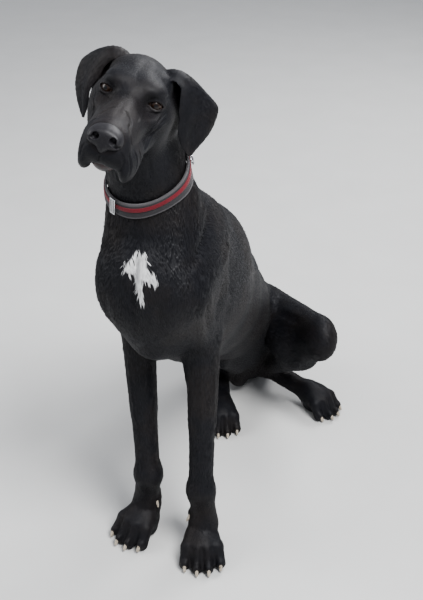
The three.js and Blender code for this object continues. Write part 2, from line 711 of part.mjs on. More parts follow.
function earMesh(side) {
  const curve = (edge) => new THREE.CatmullRomCurve3(edge.map((p) => onHead(...p)));
  const edges = [curve(EARS[side].front), curve(EARS[side].rear)];
  const rings = Array.from({ length: EAR_RINGS + 1 }, (_, r) => {
    const t = r / EAR_RINGS;
    const [front, rear] = edges.map((edge) => edge.getPoint(t));
    const along = edges[0].getTangent(t).add(edges[1].getTangent(t)).normalize();
    const across = rear.clone().sub(front);
    const normal = along.clone().cross(across).normalize().multiplyScalar(SIDES[side]);
    const cup = 5 * (1 - t) + 16 * THREE.MathUtils.smoothstep(0.45 - t, 0, 0.4);
    const spot = (w, face) => {
      const wave = cup * Math.sin(Math.PI * w) + 2.5 * Math.sin(3 * Math.PI * w) * Math.sin(Math.PI * t);
      const thick = (EAR_THICKNESS / 2) * (1 - 0.3 * t) * Math.sqrt(1 - (2 * w - 1) ** 4);
      return front.clone().addScaledVector(across, w).addScaledVector(normal, wave + face * thick);
    };
    const steps = Array.from({ length: EAR_STEPS + 1 }, (_, n) => n / EAR_STEPS);
    return [...steps.map((w) => spot(w, 1)), ...steps.slice(1, -1).reverse().map((w) => spot(w, -1))];
  });
  return lofted(rings);
}

// Eyes, lids and the almond openings between them
const eyeTurn = (side) => new THREE.Quaternion().setFromRotationMatrix(
  new THREE.Matrix4().makeBasis(head.axes[2].clone().cross(eyeOf(side).out), head.axes[2], eyeOf(side).out),
);
function eyeBall(side, radius) {
  const ball = new THREE.SphereGeometry(radius, 16, 10).rotateX(Math.PI / 2).applyQuaternion(eyeTurn(side));
  return solidOfGeometry(ball.translate(...eyeOf(side).centre.toArray()));
}
function lidOpening(side) {
  const [w, h] = [12, 6.5];
  const almond = new THREE.Shape();
  almond.moveTo(-w, 0);
  almond.quadraticCurveTo(-w * 0.5, h, 0, h).quadraticCurveTo(w * 0.6, h, w, 0.5);
  almond.quadraticCurveTo(w * 0.5, -h * 0.9, 0, -h * 0.9).quadraticCurveTo(-w * 0.6, -h * 0.8, -w, 0);
  const prism = new THREE.ExtrudeGeometry(almond, { depth: 30, bevelEnabled: false, curveSegments: 5 });
  return solidOfGeometry(prism.applyQuaternion(eyeTurn(side)).translate(...eyeOf(side).centre.toArray()));
}

// Nose pad with its nostrils
const nosePad = [
  lump(onHead(114, 0, -32), [29, 22, 16], { axes: head.axes }),
  lump(onHead(126, 14, -36), [15, 11.5, 12], { axes: head.axes, blend: 8 }),
  lump(onHead(126, -14, -36), [15, 11.5, 12], { axes: head.axes, blend: 8 }),
  cut(lump(onHead(240, 0, -30), [100, 100, 100], { axes: head.axes, blend: 6 })),
  lump(onHead(126, 0, -47), [12, 8, 10], { axes: head.axes, blend: 8 }),
  cut(lump(onHead(146, 0, -44), [7, 1.6, 16], { axes: head.axes, blend: 2 })),
];
const nostril = (side) => {
  const s = SIDES[side];
  const spots = [[148, 11, -33, 5.8], [136, 12.5, -33, 4.8], [130, 13.5, -31, 2.6]];
  const slit = [[140, 15, -37, 3.3], [134, 20, -39, 2.7], [131, 26, -39, 1.8]];
  return [spots, slit].map((stops) => solidOf(bar(stops.map(([f, l, u, r]) => [onHead(f, s * l, u), r]))));
};
const noseBox = new THREE.Box3().setFromCenterAndSize(onHead(124, 0, -37), at(80, 80, 80));
const noseMesh = coarsened(surfaceOf(fieldOf(nosePad), noseBox, 2.6), 420);
const nostrils = [...nostril("left"), ...nostril("right")];
const nose = nostrils.reduce((rest, hole) => rest.subtract(hole), solidOf(noseMesh));

// Lower jaw, hanging from a cut behind the corners of the mouth
const jawBox = new THREE.Box3().setFromCenterAndSize(onHead(20, 0, -75), at(210, 260, 200));
const jawMesh = coarsened(surfaceOf(fieldOf(jawParts), jawBox, 5), 500);
const jawSpace = beyond(onHead(-24, 0, -80), head.axes[0]);
const jaw = jawSpace.keep(solidOf(jawMesh));

// Ears are parted from their stumps on the skull by a plane across the root
const earSpace = (side, gap) =>
  beyond(onHead(-73, SIDES[side] * 46, 34), head.axes[1].clone().multiplyScalar(SIDES[side]), gap);
const headFlesh = fleshOf(boxOf(-120, -270, 780, 110, 90, 1060), 4, 2050, [headSpace]);
const headCuts = [
  solidOf(swelled(noseMesh, GAP)),
  beyond(onHead(-24 - GAP, 0, -80), head.axes[0], 0).keep(solidOf(swelled(jawMesh, GAP))),
  ...Object.keys(SIDES).flatMap((side) => [
    eyeBall(side, EYE_RADIUS + GAP),
    lidOpening(side),
    earSpace(side, -GAP / 2).keep(solidOf(earMesh(side))),
    earSpace(side, -GAP / 2).keep(solidOf(swelled(earMesh(side), GAP))),
  ]),
];
const withStumps = Object.keys(SIDES).reduce(
  (rest, side) => rest.add(earSpace(side, GAP / 2).remove(solidOf(earMesh(side)))),
  headFlesh,
);
add("head", largest(headCuts.reduce((rest, tool) => rest.subtract(tool), withStumps)), coat);
add("lower_jaw", largest(jaw), coat);
add("nose", largest(nose), materialOf(COLOURS.nose, 0.3));
for (const side of Object.keys(SIDES)) {
  add(`ear_${side}`, largest(earSpace(side, GAP / 2).keep(solidOf(earMesh(side)))), coat);
  add(`eye_${side}`, eyeBall(side, EYE_RADIUS), materialOf(COLOURS.eye, 0.05));
}

// Torso and tail
const limbSpaces = legs.flatMap(({ fore, hind }) => [fore, hind]);
const torsoBox = boxOf(-230, -140, -20, 200, 720, 800);
add("torso", fleshOf(torsoBox, 11, 1380, [floor], [neckSpace, tailSpace, ...limbSpaces]), coat);
add("tail_root", fleshOf(boxOf(-120, 650, -20, 0, 860, 110), 6, 220, [floor, tailSpace], [tailCuts[0]]), coat);
add("tail_middle", fleshOf(boxOf(-230, 780, -20, -40, 1030, 60), 5, 220, [floor, tailCuts[0]], [tailCuts[1]]), coat);
add("tail_tip", fleshOf(boxOf(-290, 930, -20, -130, 1080, 50), 4, 160, [floor, tailCuts[1]]), coat);

// Legs and feet, each foot with its claws
function clawsOf(name, frame, fore) {
  const shrink = FOOT_SIZE[fore ? "fore" : "hind"];
  return TOES.map(({ place, tip: [f, l] }) => ({
    name: `${name}_claw_${place + 2.5}`,
    across: frame.axes[1],
    stops: CLAW.map(([ahead, up, size]) => [
      frame.place((f + ahead) * shrink, l * 1.02 * shrink, up * shrink),
      CLAW_RADIUS * size * shrink,
    ]),
  }));
}
function dewclawOf(side, [x, y]) {
  const onLeg = (inwards, z) => at(x - SIDES[side] * inwards, y + 34 - inwards, z);
  const stops = DEWCLAW.map(([inwards, z, size]) => [onLeg(inwards, z), CLAW_RADIUS * size]);
  return { name: `forepaw_${side}_dewclaw`, across: at(0, 1, 0), stops };
}
const clawSolid = ({ stops, across }, grow = 0) => solidOf(bar(stops, { sides: 6, across, ratio: 0.72, grow }));

function addFoot(name, clay, claws) {
  add(name, largest(claws.reduce((rest, claw) => rest.subtract(clawSolid(claw, GAP)), clay)), coat);
  for (const claw of claws) add(claw.name, clawSolid(claw), horn);
}

for (const { side, fore, paw, hind, thigh, foot } of legs) {
  const { elbow, wrist, paw: place } = FORELEG[side];
  const legBox = new THREE.Box3().setFromPoints([elbow, wrist]).expandByScalar(75);
  add(`foreleg_${side}`, fleshOf(legBox, 6, 420, [fore], [paw]), coat);
  const pawBox = boxOf(place[0] - 95, place[1] - 95, -10, place[0] + 95, place[1] + 75, wrist.z);
  const claws = [...clawsOf(`forepaw_${side}`, feet[`fore_${side}`], true), dewclawOf(side, place)];
  addFoot(`forepaw_${side}`, fleshOf(pawBox, 4, 520, [floor, paw]), claws);

  const { hip, knee, hock, paw: spot } = HINDLEG[side];
  const thighBox = new THREE.Box3().setFromPoints([hip, knee, hock]).expandByScalar(110);
  add(`thigh_${side}`, fleshOf(thighBox, 8, 430, [hind, thigh]), coat);
  const shankBox = new THREE.Box3().setFromPoints([knee, hock]).expandByScalar(80);
  add(`shank_${side}`, fleshOf(shankBox, 6, 370, [floor, hind], [thigh, foot]), coat);
  const footBox = new THREE.Box3().setFromPoints([hock, at(spot[0], spot[1], 40)]).expandByScalar(85);
  footBox.min.z = -10;
  const hindfoot = fleshOf(footBox, 4, 440, [floor, hind, foot], [thigh]);
  addFoot(`hindfoot_${side}`, hindfoot, clawsOf(`hindfoot_${side}`, feet[`hind_${side}`], false));
}

// Collar: hoops that follow the neck's own shape, with a slide, a wire loop and a ring
const COLLAR = { centre: at(-30, 14, 785), up: at(-0.1, -0.44, 0.94).normalize() };
const collarBack = at(0, 1, 0).addScaledVector(COLLAR.up, -COLLAR.up.y).normalize();
const collarLeft = collarBack.clone().cross(COLLAR.up);
const HOOP_STEPS = 44;
const onCollar = (angle, out, height) =>
  COLLAR.centre
    .clone()
    .addScaledVector(collarLeft, out * Math.sin(angle))
    .addScaledVector(collarBack, -out * Math.cos(angle))
    .addScaledVector(COLLAR.up, height);

function neckRadius(angle, height) {
  let [near, far] = [30, 130];
  for (let n = 0; n < 24; n++) {
    const middle = (near + far) / 2;
    if (whole(...onCollar(angle, middle, height).toArray()) < 0) near = middle;
    else far = middle;
  }
  return near;
}
const hoopRadii = Array.from({ length: HOOP_STEPS }, (_, n) => {
  const angle = (2 * Math.PI * n) / HOOP_STEPS;
  return [-1, 1].map((end) => neckRadius(angle, (end * COLLAR_WIDTH) / 2));
});
const surfaceAt = (n, height) => {
  const [low, high] = hoopRadii[(n + HOOP_STEPS) % HOOP_STEPS];
  return lerp(low, high, height / COLLAR_WIDTH + 0.5);
};

// A hoop has the same section all the way round, given as [out from the neck, up]
function hoop(section) {
  const rings = Array.from({ length: HOOP_STEPS }, (_, n) => {
    const angle = (2 * Math.PI * n) / HOOP_STEPS;
    return section.map(([out, height]) => onCollar(angle, surfaceAt(n, height) + out, height));
  });
  const faces = rings.flatMap((_, r) =>
    section.flatMap((_, k) => {
      const next = ((r + 1) % HOOP_STEPS) * section.length;
      const [a, b] = [r * section.length + k, r * section.length + ((k + 1) % section.length)];
      const [c, d] = [next + k, next + ((k + 1) % section.length)];
      return [[a, b, d], [a, d, c]];
    }),
  );
  return solidOf(facingOut({ points: rings.flat().map((p) => p.toArray()), faces }));
}
const COLLAR_PLAY = 1.2; // between the coat and the webbing
const half = COLLAR_WIDTH / 2;
const face = COLLAR_PLAY + COLLAR_THICKNESS;
const [low, high] = [-1, 1].map((end) => STRIPE_RISE + (end * STRIPE_WIDTH) / 2);
const bandSection = [
  [COLLAR_PLAY, -half], [face - 1, -half], [face, 1 - half], [face, low],
  [face, high], [face, half - 1], [face - 1, half], [COLLAR_PLAY, half],
];
const stripeSection = [
  [face + GAP, low],
  [face + GAP + 1, low],
  [face + GAP + 1, high],
  [face + GAP, high],
];
const webbing = materialOf(COLOURS.webbing, 0.85);
const steel = materialOf(COLOURS.steel, 0.25, 1);
const pressedSection = [
  [COLLAR_PLAY - GAP, -half - GAP],
  [face + 6, -half - GAP],
  [face + 6, half + GAP],
  [COLLAR_PLAY - GAP, half + GAP],
];
const pressed = hoop(pressedSection);
const neckFlesh = fleshOf(boxOf(-150, -140, 640, 110, 190, 1010), 9, 560, [neckSpace], [headSpace]);
add("neck", largest(neckFlesh.subtract(pressed)), coat);
add("collar_band", hoop(bandSection), webbing);
add("collar_stripe", hoop(stripeSection), materialOf(COLOURS.red, 0.8));

// A frame standing on the webbing: along it, across it and out of it
function onWebbing(angle, height = 0) {
  const skin = (a, h) => onCollar(a, lerp(neckRadius(a, -half), neckRadius(a, half), h / COLLAR_WIDTH + 0.5), h);
  const up = skin(angle, half).sub(skin(angle, -half)).normalize();
  const along = skin(angle + 0.12, height).sub(skin(angle - 0.12, height)).normalize();
  const out = along.clone().cross(up).normalize();
  if (out.dot(skin(angle, height).sub(COLLAR.centre)) < 0) out.negate();
  const origin = skin(angle, height).addScaledVector(out, face);
  const across = out.clone().cross(along);
  const turn = new THREE.Quaternion().setFromRotationMatrix(new THREE.Matrix4().makeBasis(along, across, out));
  return { origin, along, across, out, turn };
}

// A slide on the right of the throat: a frame with a bar, over the webbing
const SLIDE_PLACE = -0.42;
const SLIDE_WIDTH = 12;
function collarSlide() {
  const { origin, out, turn } = onWebbing(SLIDE_PLACE);
  const block = (x, w, h, d) => {
    const box = new THREE.BoxGeometry(w, h, d).translate(x, 0, 0).applyQuaternion(turn);
    return solidOfGeometry(box.translate(...origin.clone().addScaledVector(out, 3.2).toArray()));
  };
  const windows = [-2.8, 2.8].map((x) => block(x, 2.6, COLLAR_WIDTH + 1, 8));
  return windows.reduce((rest, window) => rest.subtract(window), block(0, SLIDE_WIDTH, COLLAR_WIDTH + 5, 2.4));
}
add("collar_slide", collarSlide(), steel);

// A loop of wire standing on the webbing, with the ring hanging in it
const RING_PLACE = 2.2;
const RING_RADIUS = 11;
function collarLoop() {
  const { origin, along, across, out } = onWebbing(RING_PLACE, half - 8);
  const arch = [[-5, 2.2], [-4.8, 6], [-2.5, 8.8], [0, 9.4], [2.5, 8.8], [4.8, 6], [5, 2.2]];
  const onArch = (y, rise) => origin.clone().addScaledVector(across, y).addScaledVector(out, rise);
  const stops = arch.map(([y, rise]) => [onArch(y, rise), 1.5]);
  return solidOf(bar(stops, { sides: 6, across: along }));
}
function collarRing() {
  const { origin, across, out, turn } = onWebbing(RING_PLACE, half - 8);
  const place = origin.clone().addScaledVector(across, -RING_RADIUS).addScaledVector(out, 5.2);
  const torus = new THREE.TorusGeometry(RING_RADIUS, 1.5, 6, 18).applyQuaternion(turn);
  return solidOfGeometry(torus.translate(...place.toArray()));
}
add("collar_loop", collarLoop(), steel);
add("collar_ring", collarRing(), steel);

// Put the origin on the ground, in the middle of the dog
const extent = new THREE.Box3().setFromObject(dog);
const middle = extent.getCenter(at(0, 0, 0));
dog.position.set(-middle.x, -middle.y, -extent.min.z);

export default dog;
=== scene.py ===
import math

import bmesh
import bpy
import numpy as np
from mathutils import Matrix, Vector, bvhtree


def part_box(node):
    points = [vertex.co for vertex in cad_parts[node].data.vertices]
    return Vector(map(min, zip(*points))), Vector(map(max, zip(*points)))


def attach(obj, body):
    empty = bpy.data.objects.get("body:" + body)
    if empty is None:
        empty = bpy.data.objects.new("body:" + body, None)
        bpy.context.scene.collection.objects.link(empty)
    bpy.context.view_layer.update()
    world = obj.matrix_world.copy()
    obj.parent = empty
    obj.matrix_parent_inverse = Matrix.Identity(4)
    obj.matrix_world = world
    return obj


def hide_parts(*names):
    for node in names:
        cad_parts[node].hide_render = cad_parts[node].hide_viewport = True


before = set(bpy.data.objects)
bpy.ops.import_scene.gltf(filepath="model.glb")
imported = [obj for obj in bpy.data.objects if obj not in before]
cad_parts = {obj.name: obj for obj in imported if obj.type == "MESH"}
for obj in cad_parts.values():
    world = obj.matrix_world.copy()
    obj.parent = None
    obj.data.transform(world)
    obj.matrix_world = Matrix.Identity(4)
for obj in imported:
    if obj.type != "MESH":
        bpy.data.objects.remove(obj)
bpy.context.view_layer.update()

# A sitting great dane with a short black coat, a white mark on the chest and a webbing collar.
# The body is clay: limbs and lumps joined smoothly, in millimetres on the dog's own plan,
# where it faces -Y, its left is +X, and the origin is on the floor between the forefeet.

MM = 0.001
COAT_DEPTH = 1.0
EYE_SPACING = 70
EYE_RADIUS = 12.5
EYE_OUTLOOK = 20
LID_GAP = 0.3
LID_THICKNESS = 2.4
HEAD_TURN = 13.1
HEAD_RAISE = 8.2
HEAD_TILT = 18.1
EAR_THICKNESS = 5
FLEW_SAG = 7
COLLAR_WIDTH = 23
COLLAR_THICKNESS = 4
SIDES = {"left": 1, "right": -1}

FORWARD, LEFT, UP = np.array([0.0, -1, 0]), np.array([1.0, 0, 0]), np.array([0.0, 0, 1])
WORLD = np.array([FORWARD, LEFT, UP])


def at(x, y, z):
    return np.array([x, y, z], float)


def unit(v):
    return v / np.linalg.norm(v)


def mix(a, b, t):
    return a + (b - a) * t


def smooth(t):
    t = np.clip(t, 0, 1)
    return t * t * (3 - 2 * t)


class Place:
    """A frame with its own forward, left and up."""

    def __init__(self, origin, turn, raised=0, tilt=0):
        spin = (
            Matrix.Rotation(math.radians(turn), 3, "Z")
            @ Matrix.Rotation(math.radians(-raised), 3, "X")
            @ Matrix.Rotation(math.radians(-tilt), 3, Vector((0, -1, 0)))
        )
        self.origin = origin
        self.axes = WORLD @ np.array(spin).T

    def __call__(self, f, l, u):
        return self.origin + at(f, l, u) @ self.axes


# Clay: a stroke is one limb or lump, added or cut with a rounded join.
# Its lie is the way the hair runs on it.


class Stroke:
    def __init__(self, blend, removes, lie):
        self.blend = blend
        self.removes = removes
        self.lie = lie


class Limb(Stroke):
    def __init__(self, start, end, r0, r1, across=None, ratio=1, blend=20, removes=False, lie=1):
        super().__init__(blend, removes, lie * unit(end - start))
        self.start, self.end, self.r0, self.r1 = start, end, r0, r1
        self.axis = end - start
        self.side = np.zeros(3) if across is None else across
        self.ratio = ratio
        self.centre = (start + end) / 2
        self.reach = np.linalg.norm(self.axis) / 2 + max(r0, r1) * max(1, ratio)

    def distance(self, points):
        v = points - self.start
        t = np.clip(v @ self.axis / (self.axis @ self.axis), 0, 1)
        v = v - t[:, None] * self.axis
        v = v + ((v @ self.side) * (1 / self.ratio - 1))[:, None] * self.side
        return np.linalg.norm(v, axis=1) - mix(self.r0, self.r1, t)

    def model(self, bm):
        """Two balls and a cone between them, flattened across."""
        length = np.linalg.norm(self.axis)
        flat = Matrix.Identity(4)
        if self.ratio != 1:
            flat = Matrix.Scale(self.ratio, 4, Vector(self.side))
        stand = Matrix.Translation(Vector(self.start)) @ flat
        for place, radius in ((np.zeros(3), self.r0), (self.axis, self.r1)):
            moved = stand @ Matrix.Translation(Vector(place))
            bmesh.ops.create_icosphere(bm, subdivisions=3, radius=radius, matrix=moved)
        turn = Vector(self.axis).to_track_quat("Z", "Y").to_matrix().to_4x4()
        matrix = stand @ Matrix.Translation(Vector(self.axis / 2)) @ turn
        bmesh.ops.create_cone(
            bm, cap_ends=True, segments=24, radius1=self.r0, radius2=self.r1, depth=length, matrix=matrix
        )


class Lump(Stroke):
    def __init__(self, centre, radii, axes=WORLD, blend=15, removes=False, lie=None):
        super().__init__(blend, removes, lie)
        self.centre = centre
        self.radii = np.array(radii, float)
        self.axes = axes
        self.reach = self.radii.max()

    def distance(self, points):
        q = (points - self.centre) @ self.axes.T / self.radii
        near = np.maximum(np.linalg.norm(q, axis=1), 1e-6)
        return near * (near - 1) / np.maximum(np.linalg.norm(q / self.radii, axis=1), 1e-9)

    def model(self, bm):
        turn = Matrix([list(row) for row in self.axes.T]).to_4x4()
        size = Matrix.Diagonal(Vector((*self.radii, 1)))
        matrix = Matrix.Translation(Vector(self.centre)) @ turn @ size
        bmesh.ops.create_icosphere(bm, subdivisions=3, radius=1, matrix=matrix)


def chain(stops, **shape):
    return [Limb(a, b, ra, rb, **shape) for (a, ra), (b, rb) in zip(stops, stops[1:])]


CELL = 120  # points are worked on by the cell
JOIN_MARGIN = 45
FAR_AWAY = 400.0
SLOPE_STEP = 0.6


def by_cell(strokes, points):
    """The points a cell at a time, with the strokes that reach them."""
    centres = np.array([s.centre for s in strokes])
    reaches = np.array([s.reach + s.blend for s in strokes])
    cells = np.floor(points / CELL).astype(int)
    _, group = np.unique(cells, axis=0, return_inverse=True)
    group = group.ravel()
    order = np.argsort(group, kind="stable")
    for chosen in np.split(order, np.flatnonzero(np.diff(group[order])) + 1):
        here = points[chosen]
        middle = (here.min(0) + here.max(0)) / 2
        spread = np.linalg.norm(here - middle, axis=1).max()
        near = np.linalg.norm(centres - middle, axis=1) - reaches < spread + JOIN_MARGIN
        yield chosen, here, np.flatnonzero(near)


def depth_in(strokes, points):
    """Signed distance to the strokes together, negative inside."""
    depth = np.full(len(points), FAR_AWAY)
    for chosen, here, near in by_cell(strokes, points):
        d = depth[chosen]
        for n in near:
            s = strokes[n]
            e = s.distance(here)
            if s.removes:
                e = -e
            join = np.maximum(s.blend - np.abs(d - e), 0) ** 2 / (4 * s.blend)
            d = np.maximum(d, e) + join if s.removes else np.minimum(d, e) - join
        depth[chosen] = d
    return depth


def slope_in(strokes, points, depth):
    ahead = [depth_in(strokes, points + SLOPE_STEP * axis) - depth for axis in np.eye(3)]
    slope = np.stack(ahead, axis=1)
    return slope / np.maximum(np.linalg.norm(slope, axis=1, keepdims=True), 1e-6)


# The sitting dog's joints, as its solids have them
head = Place(at(-6, -100, 949), HEAD_TURN, HEAD_RAISE, HEAD_TILT)
NECK = [
    (at(-18, 60, 640), 88),
    (at(-27, 18, 730), 69),
    (at(-35, 0, 830), 58),
    (head(-92, 0, -14), 50),
]
SPINE = [
    (at(-18, 45, 590), 148),
    (at(-22, 187, 488), 146),
    (at(-30, 312, 392), 122),
    (at(-40, 425, 300), 108),
    (at(-50, 535, 205), 104),
    (at(-56, 590, 110), 98),
]
# Each leg's joints, and its paw as x, y and the way it turns, in degrees
FORELEG = {
    "left": {
        "shoulder": at(48, -38, 602), "elbow": at(44, 62, 452), "wrist": at(58, 6, 142),
        "paw": (66, -12, 22),
    },
    "right": {
        "shoulder": at(-64, -38, 600), "elbow": at(-86, 62, 452), "wrist": at(-52, 8, 150),
        "paw": (-66, 6, -18),
    },
}
HINDLEG = {
    "left": {
        "hip": at(26, 585, 188), "knee": at(175, 424, 265), "hock": at(12, 578, 58),
        "paw": (150, 530, 64),
    },
    "right": {
        "hip": at(-120, 555, 188), "knee": at(-163, 380, 262), "hock": at(-104, 560, 58),
        "paw": (-38, 400, 22),
    },
}
TAIL = [
    (at(-62, 668, 66), 26),
    (at(-66, 735, 24), 21),
    (at(-84, 820, 17), 17),
    (at(-122, 905, 13.5), 13.5),
    (at(-180, 985, 10), 10),
    (at(-250, 1050, 6.5), 6),
]

torso = [
    *[
        Limb(a, b, ra, rb, across=LEFT, ratio=mix(0.68, 0.86, i / 4), blend=40)
        for i, ((a, ra), (b, rb)) in enumerate(zip(SPINE, SPINE[1:]))
    ],
    Lump(at(-18, -42, 628), (48, 46, 62), blend=40, lie=-UP),
    Lump(at(-18, 75, 474), (120, 50, 42), blend=40, lie=-UP),
    Limb(at(-22, 112, 636), at(-26, 290, 514), 56, 54, blend=50),
    Lump(at(-56, 628, 62), (62, 88, 66), blend=40, lie=-UP),
]
neck = chain(NECK, across=LEFT, ratio=0.92, blend=40, lie=-1)


def shoulder_of(side):
    shoulder, elbow = FORELEG[side]["shoulder"], FORELEG[side]["elbow"]
    out = SIDES[side]
    return [
        Limb(shoulder, at(-20 + out * 38, 130, 648), 36, 28, blend=40, lie=-1),
        Limb(shoulder, elbow, 38, 32, across=LEFT, ratio=0.85, blend=26),
        Limb(at(-20 + out * 42, 8, 748), at(-20 + out * 45, -34, 640), 28, 36, blend=30),
        Lump(at(elbow[0] + out * 4, 84, 540), (46, 26, 70), blend=26, lie=-UP),
        Lump(at(-18 + out * 34, -56, 590), (34, 37, 58), blend=30, lie=-UP),
    ]


def foreleg_of(side):
    elbow, wrist, paw = FORELEG[side]["elbow"], FORELEG[side]["wrist"], FORELEG[side]["paw"]
    inner = -SIDES[side]
    muscle = mix(elbow, wrist, 0.55)
    ankle = at(paw[0], paw[1] + 18, 62)
    dewclaw = [at(ankle[0] + inner * 20, ankle[1] + 6, 92), at(ankle[0] + inner * 27, ankle[1] - 2, 82)]
    return [
        Limb(elbow, muscle, 37, 27, across=LEFT, ratio=0.8, blend=16),
        Limb(elbow, wrist, 27, 23, blend=14),
        Limb(elbow, elbow + at(0, 34, 8), 22, 18, blend=20, lie=0.3),
        Limb(at(elbow[0] + inner * 24, 50, 432), at(elbow[0] + inner * 14, 44, 374), 17, 12, blend=16),
        Lump(wrist, (24, 25, 29), blend=14, lie=-UP),
        Lump(wrist + at(0, 22, -22), (12, 13, 14), blend=10, lie=-UP),
        Limb(wrist, ankle, 23, 24, across=LEFT, ratio=1.08, blend=14),
        Limb(*dewclaw, 9, 7, blend=6),
    ]


TOES = [-1.5, -0.5, 0.5, 1.5]
FOOT_SIZE = {"fore": 0.93, "hind": 0.87}


def foot_place(paw):
    return Place(at(paw[0], paw[1], 0), paw[2])


def foot_of(place, end):
    shrink = FOOT_SIZE[end]
    strokes = []
    for toe in TOES:
        root = place(4 * shrink, 13 * toe * shrink, 48 * shrink)
        knuckle = place((38 - 4.5 * toe**2) * shrink, 20.5 * toe * shrink, 40 * shrink)
        tip = place((63 - 7 * toe**2) * shrink, 24.5 * toe * shrink, 12 * shrink)
        strokes.append(Limb(root, knuckle, 15 * shrink, 14 * shrink, blend=6))
        strokes.append(Limb(knuckle, tip, 14 * shrink, 12.5 * shrink, blend=5))
    strokes.append(
        Lump(place(0, 0, 30 * shrink), (36 * shrink, 34 * shrink, 30 * shrink), place.axes, 12, lie=-UP)
    )
    strokes.append(Lump(place(2, 0, 10), (32 * shrink, 32 * shrink, 14), place.axes, 6, lie=-UP))
    instep = 58 if end == "fore" else 42
    arch = place(18 * shrink, 0, 42 * shrink)
    strokes.append(Limb(place(-14, 0, instep), arch, 21, 22 * shrink, blend=26))
    for toe in TOES:
        nail = place((68 - 7 * toe**2) * shrink, 24.7 * toe * shrink, 19 * shrink)
        strokes.append(Lump(nail, (9 * shrink, 8 * shrink, 8.5 * shrink), place.axes, 6, lie=-UP))
    for gap in (-1, 0, 1):
        over = place((50 - 4 * gap**2) * shrink, 21 * gap * shrink, 50 * shrink)
        front = place((72 - 6 * gap**2) * shrink, 24.5 * gap * shrink, 16 * shrink)
        strokes.append(Limb(over, front, 1.8, 3.4, blend=7, removes=True))
    return strokes


def hindleg_of(side):
    hip, knee, hock, paw = (HINDLEG[side][key] for key in ("hip", "knee", "hock", "paw"))
    femur, shin = knee - hip, hock - knee
    flat = unit(np.cross(femur, shin))
    back = unit(np.cross(flat, shin))
    back = -back * np.sign(np.cross(flat, shin) @ femur)
    instep = foot_place(paw)(-14, 0, 36)
    calf = mix(knee, hock, 0.3) - 16 * back
    return [
        Limb(hip, knee, 76, 50, across=flat, ratio=0.66, blend=34),
        Lump(mix(hip, knee, 0.5) - 30 * back, (60, 68, 60), blend=34, lie=unit(femur)),
        Limb(knee, hock, 40, 23, across=flat, ratio=0.8, blend=24),
        Limb(calf, hock, 34, 15, across=flat, ratio=0.75, blend=20),
        Lump(hock, (27, 24, 26), blend=12, lie=unit(shin)),
        Limb(hock, instep, 23, 22, blend=12),
    ]


def head_lump(place, radii, blend=12, removes=False):
    return Lump(head(*place), radii, head.axes, blend, removes, lie=-head.axes[0])


def head_limb(start, end, r0, r1, ratio=1, blend=14, removes=False):
    made = Limb(head(*start), head(*end), r0, r1, head.axes[1], ratio, blend, removes)
    made.lie = -head.axes[0]
    return made


class Eye:
    def __init__(self, side):
        look = math.radians(EYE_OUTLOOK) * SIDES[side]
        self.centre = head(-9, SIDES[side] * EYE_SPACING / 2, 0)
        self.out = head.axes[0] * math.cos(look) + head.axes[1] * math.sin(look)
        self.up = head.axes[2]
        self.side = np.cross(self.up, self.out)
        self.axes = np.array([self.side, self.up, self.out])


eyes = {side: Eye(side) for side in SIDES}


def face_of(side):
    s = SIDES[side]
    return [
        head_limb((6, s * 37, -24), (-80, s * 46, -20), 14, 21),
        head_lump((-9, s * 28, 17), (20, 16, 12), 16),
        head_lump((-46, s * 42, -42), (40, 19, 36), 20),
        head_limb((14, s * 15, -30), (106, s * 13, -42), 24, 22),
        head_limb((108, s * 15 + FLEW_SAG / 2, -58), (56, s * 24 + FLEW_SAG / 2, -60), 20, 17, 1, 12),
        head_lump((84, s * 30 + FLEW_SAG, -74), (36, 13, 24)),
        head_limb((62, s * 25 + FLEW_SAG / 2, -66), (2, s * 33, -58), 16, 17, 1, 12),
        head_limb((-56, s * 34, 22), (-92, s * 38, 10), 12, 13),
        head_limb((-84, s * 55, 6), (-88, s * 54, -40), 16, 19),
        head_lump((14, s * 41, 0), (11, 15, 11), 8, True),
        head_lump((30, s * 36, 2), (20, 10, 12), 14, True),
        Lump(eyes[side].centre, [EYE_RADIUS + LID_GAP + LID_THICKNESS] * 3, blend=6, lie=-head.axes[0]),
    ]


skull = [
    head_limb((-30, 0, -8), (-96, 0, -3), 46, 42, 1.22, 20),
    head_lump((-134, 0, 12), (18, 18, 15), 16),
    head_lump((-60, -8, 26), (40, 34, 22), 22),
    head_limb((-4, 0, -7), (112, 0, -30), 21, 16, 1.12, 18),
    head_lump((-14, 0, 12), (24, 24, 18), 18),
    head_lump((116, 0, -54), (18, 26, 18), 10),
    head_limb((-10, 0, -56), (-90, 0, -40), 34, 50, 1, 30),
    Limb(head(-40, 0, -62), at(-26, -14, 800), 34, 44, blend=40),
    head_limb((40, 0, -80), (-50, 0, -68), 16.5, 28, 1.3, 10),
]
jaw_front = [head_limb((88, 2, -79), (36, 0, -80), 14, 16.5, 1.3, 10)]
mouth_gap = [head_limb((88, 2, -79), (52, 0, -80), 16.2, 18.7, 1.3, 3, True)]

sheath = [
    Limb(at(-38, 400, 175), at(-32, 478, 108), 20, 15, blend=24),
    Lump(at(-42, 532, 42), (22, 22, 25), blend=12, lie=-UP),
]

feet = {
    (end, side): foot_place(legs[side]["paw"])
    for end, legs in (("fore", FORELEG), ("hind", HINDLEG))
    for side in SIDES
}

body = [
    *torso,
    *neck,
    *[s for side in SIDES for part in (shoulder_of, foreleg_of, hindleg_of) for s in part(side)],
    *[s for (end, _), place in feet.items() for s in foot_of(place, end)],
    *sheath,
    *chain(TAIL, blend=12),
    *skull,
    *[s for side in SIDES for s in face_of(side)],
    *mouth_gap,
]

# The plan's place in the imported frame, from the eye that both have
low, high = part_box("eye_left")
SHIFT = np.array((low + high) / 2) / MM - eyes["left"].centre


def to_frame(points):
    return (points + SHIFT) * MM


def to_plan(points):
    return points / MM - SHIFT


# Meshes


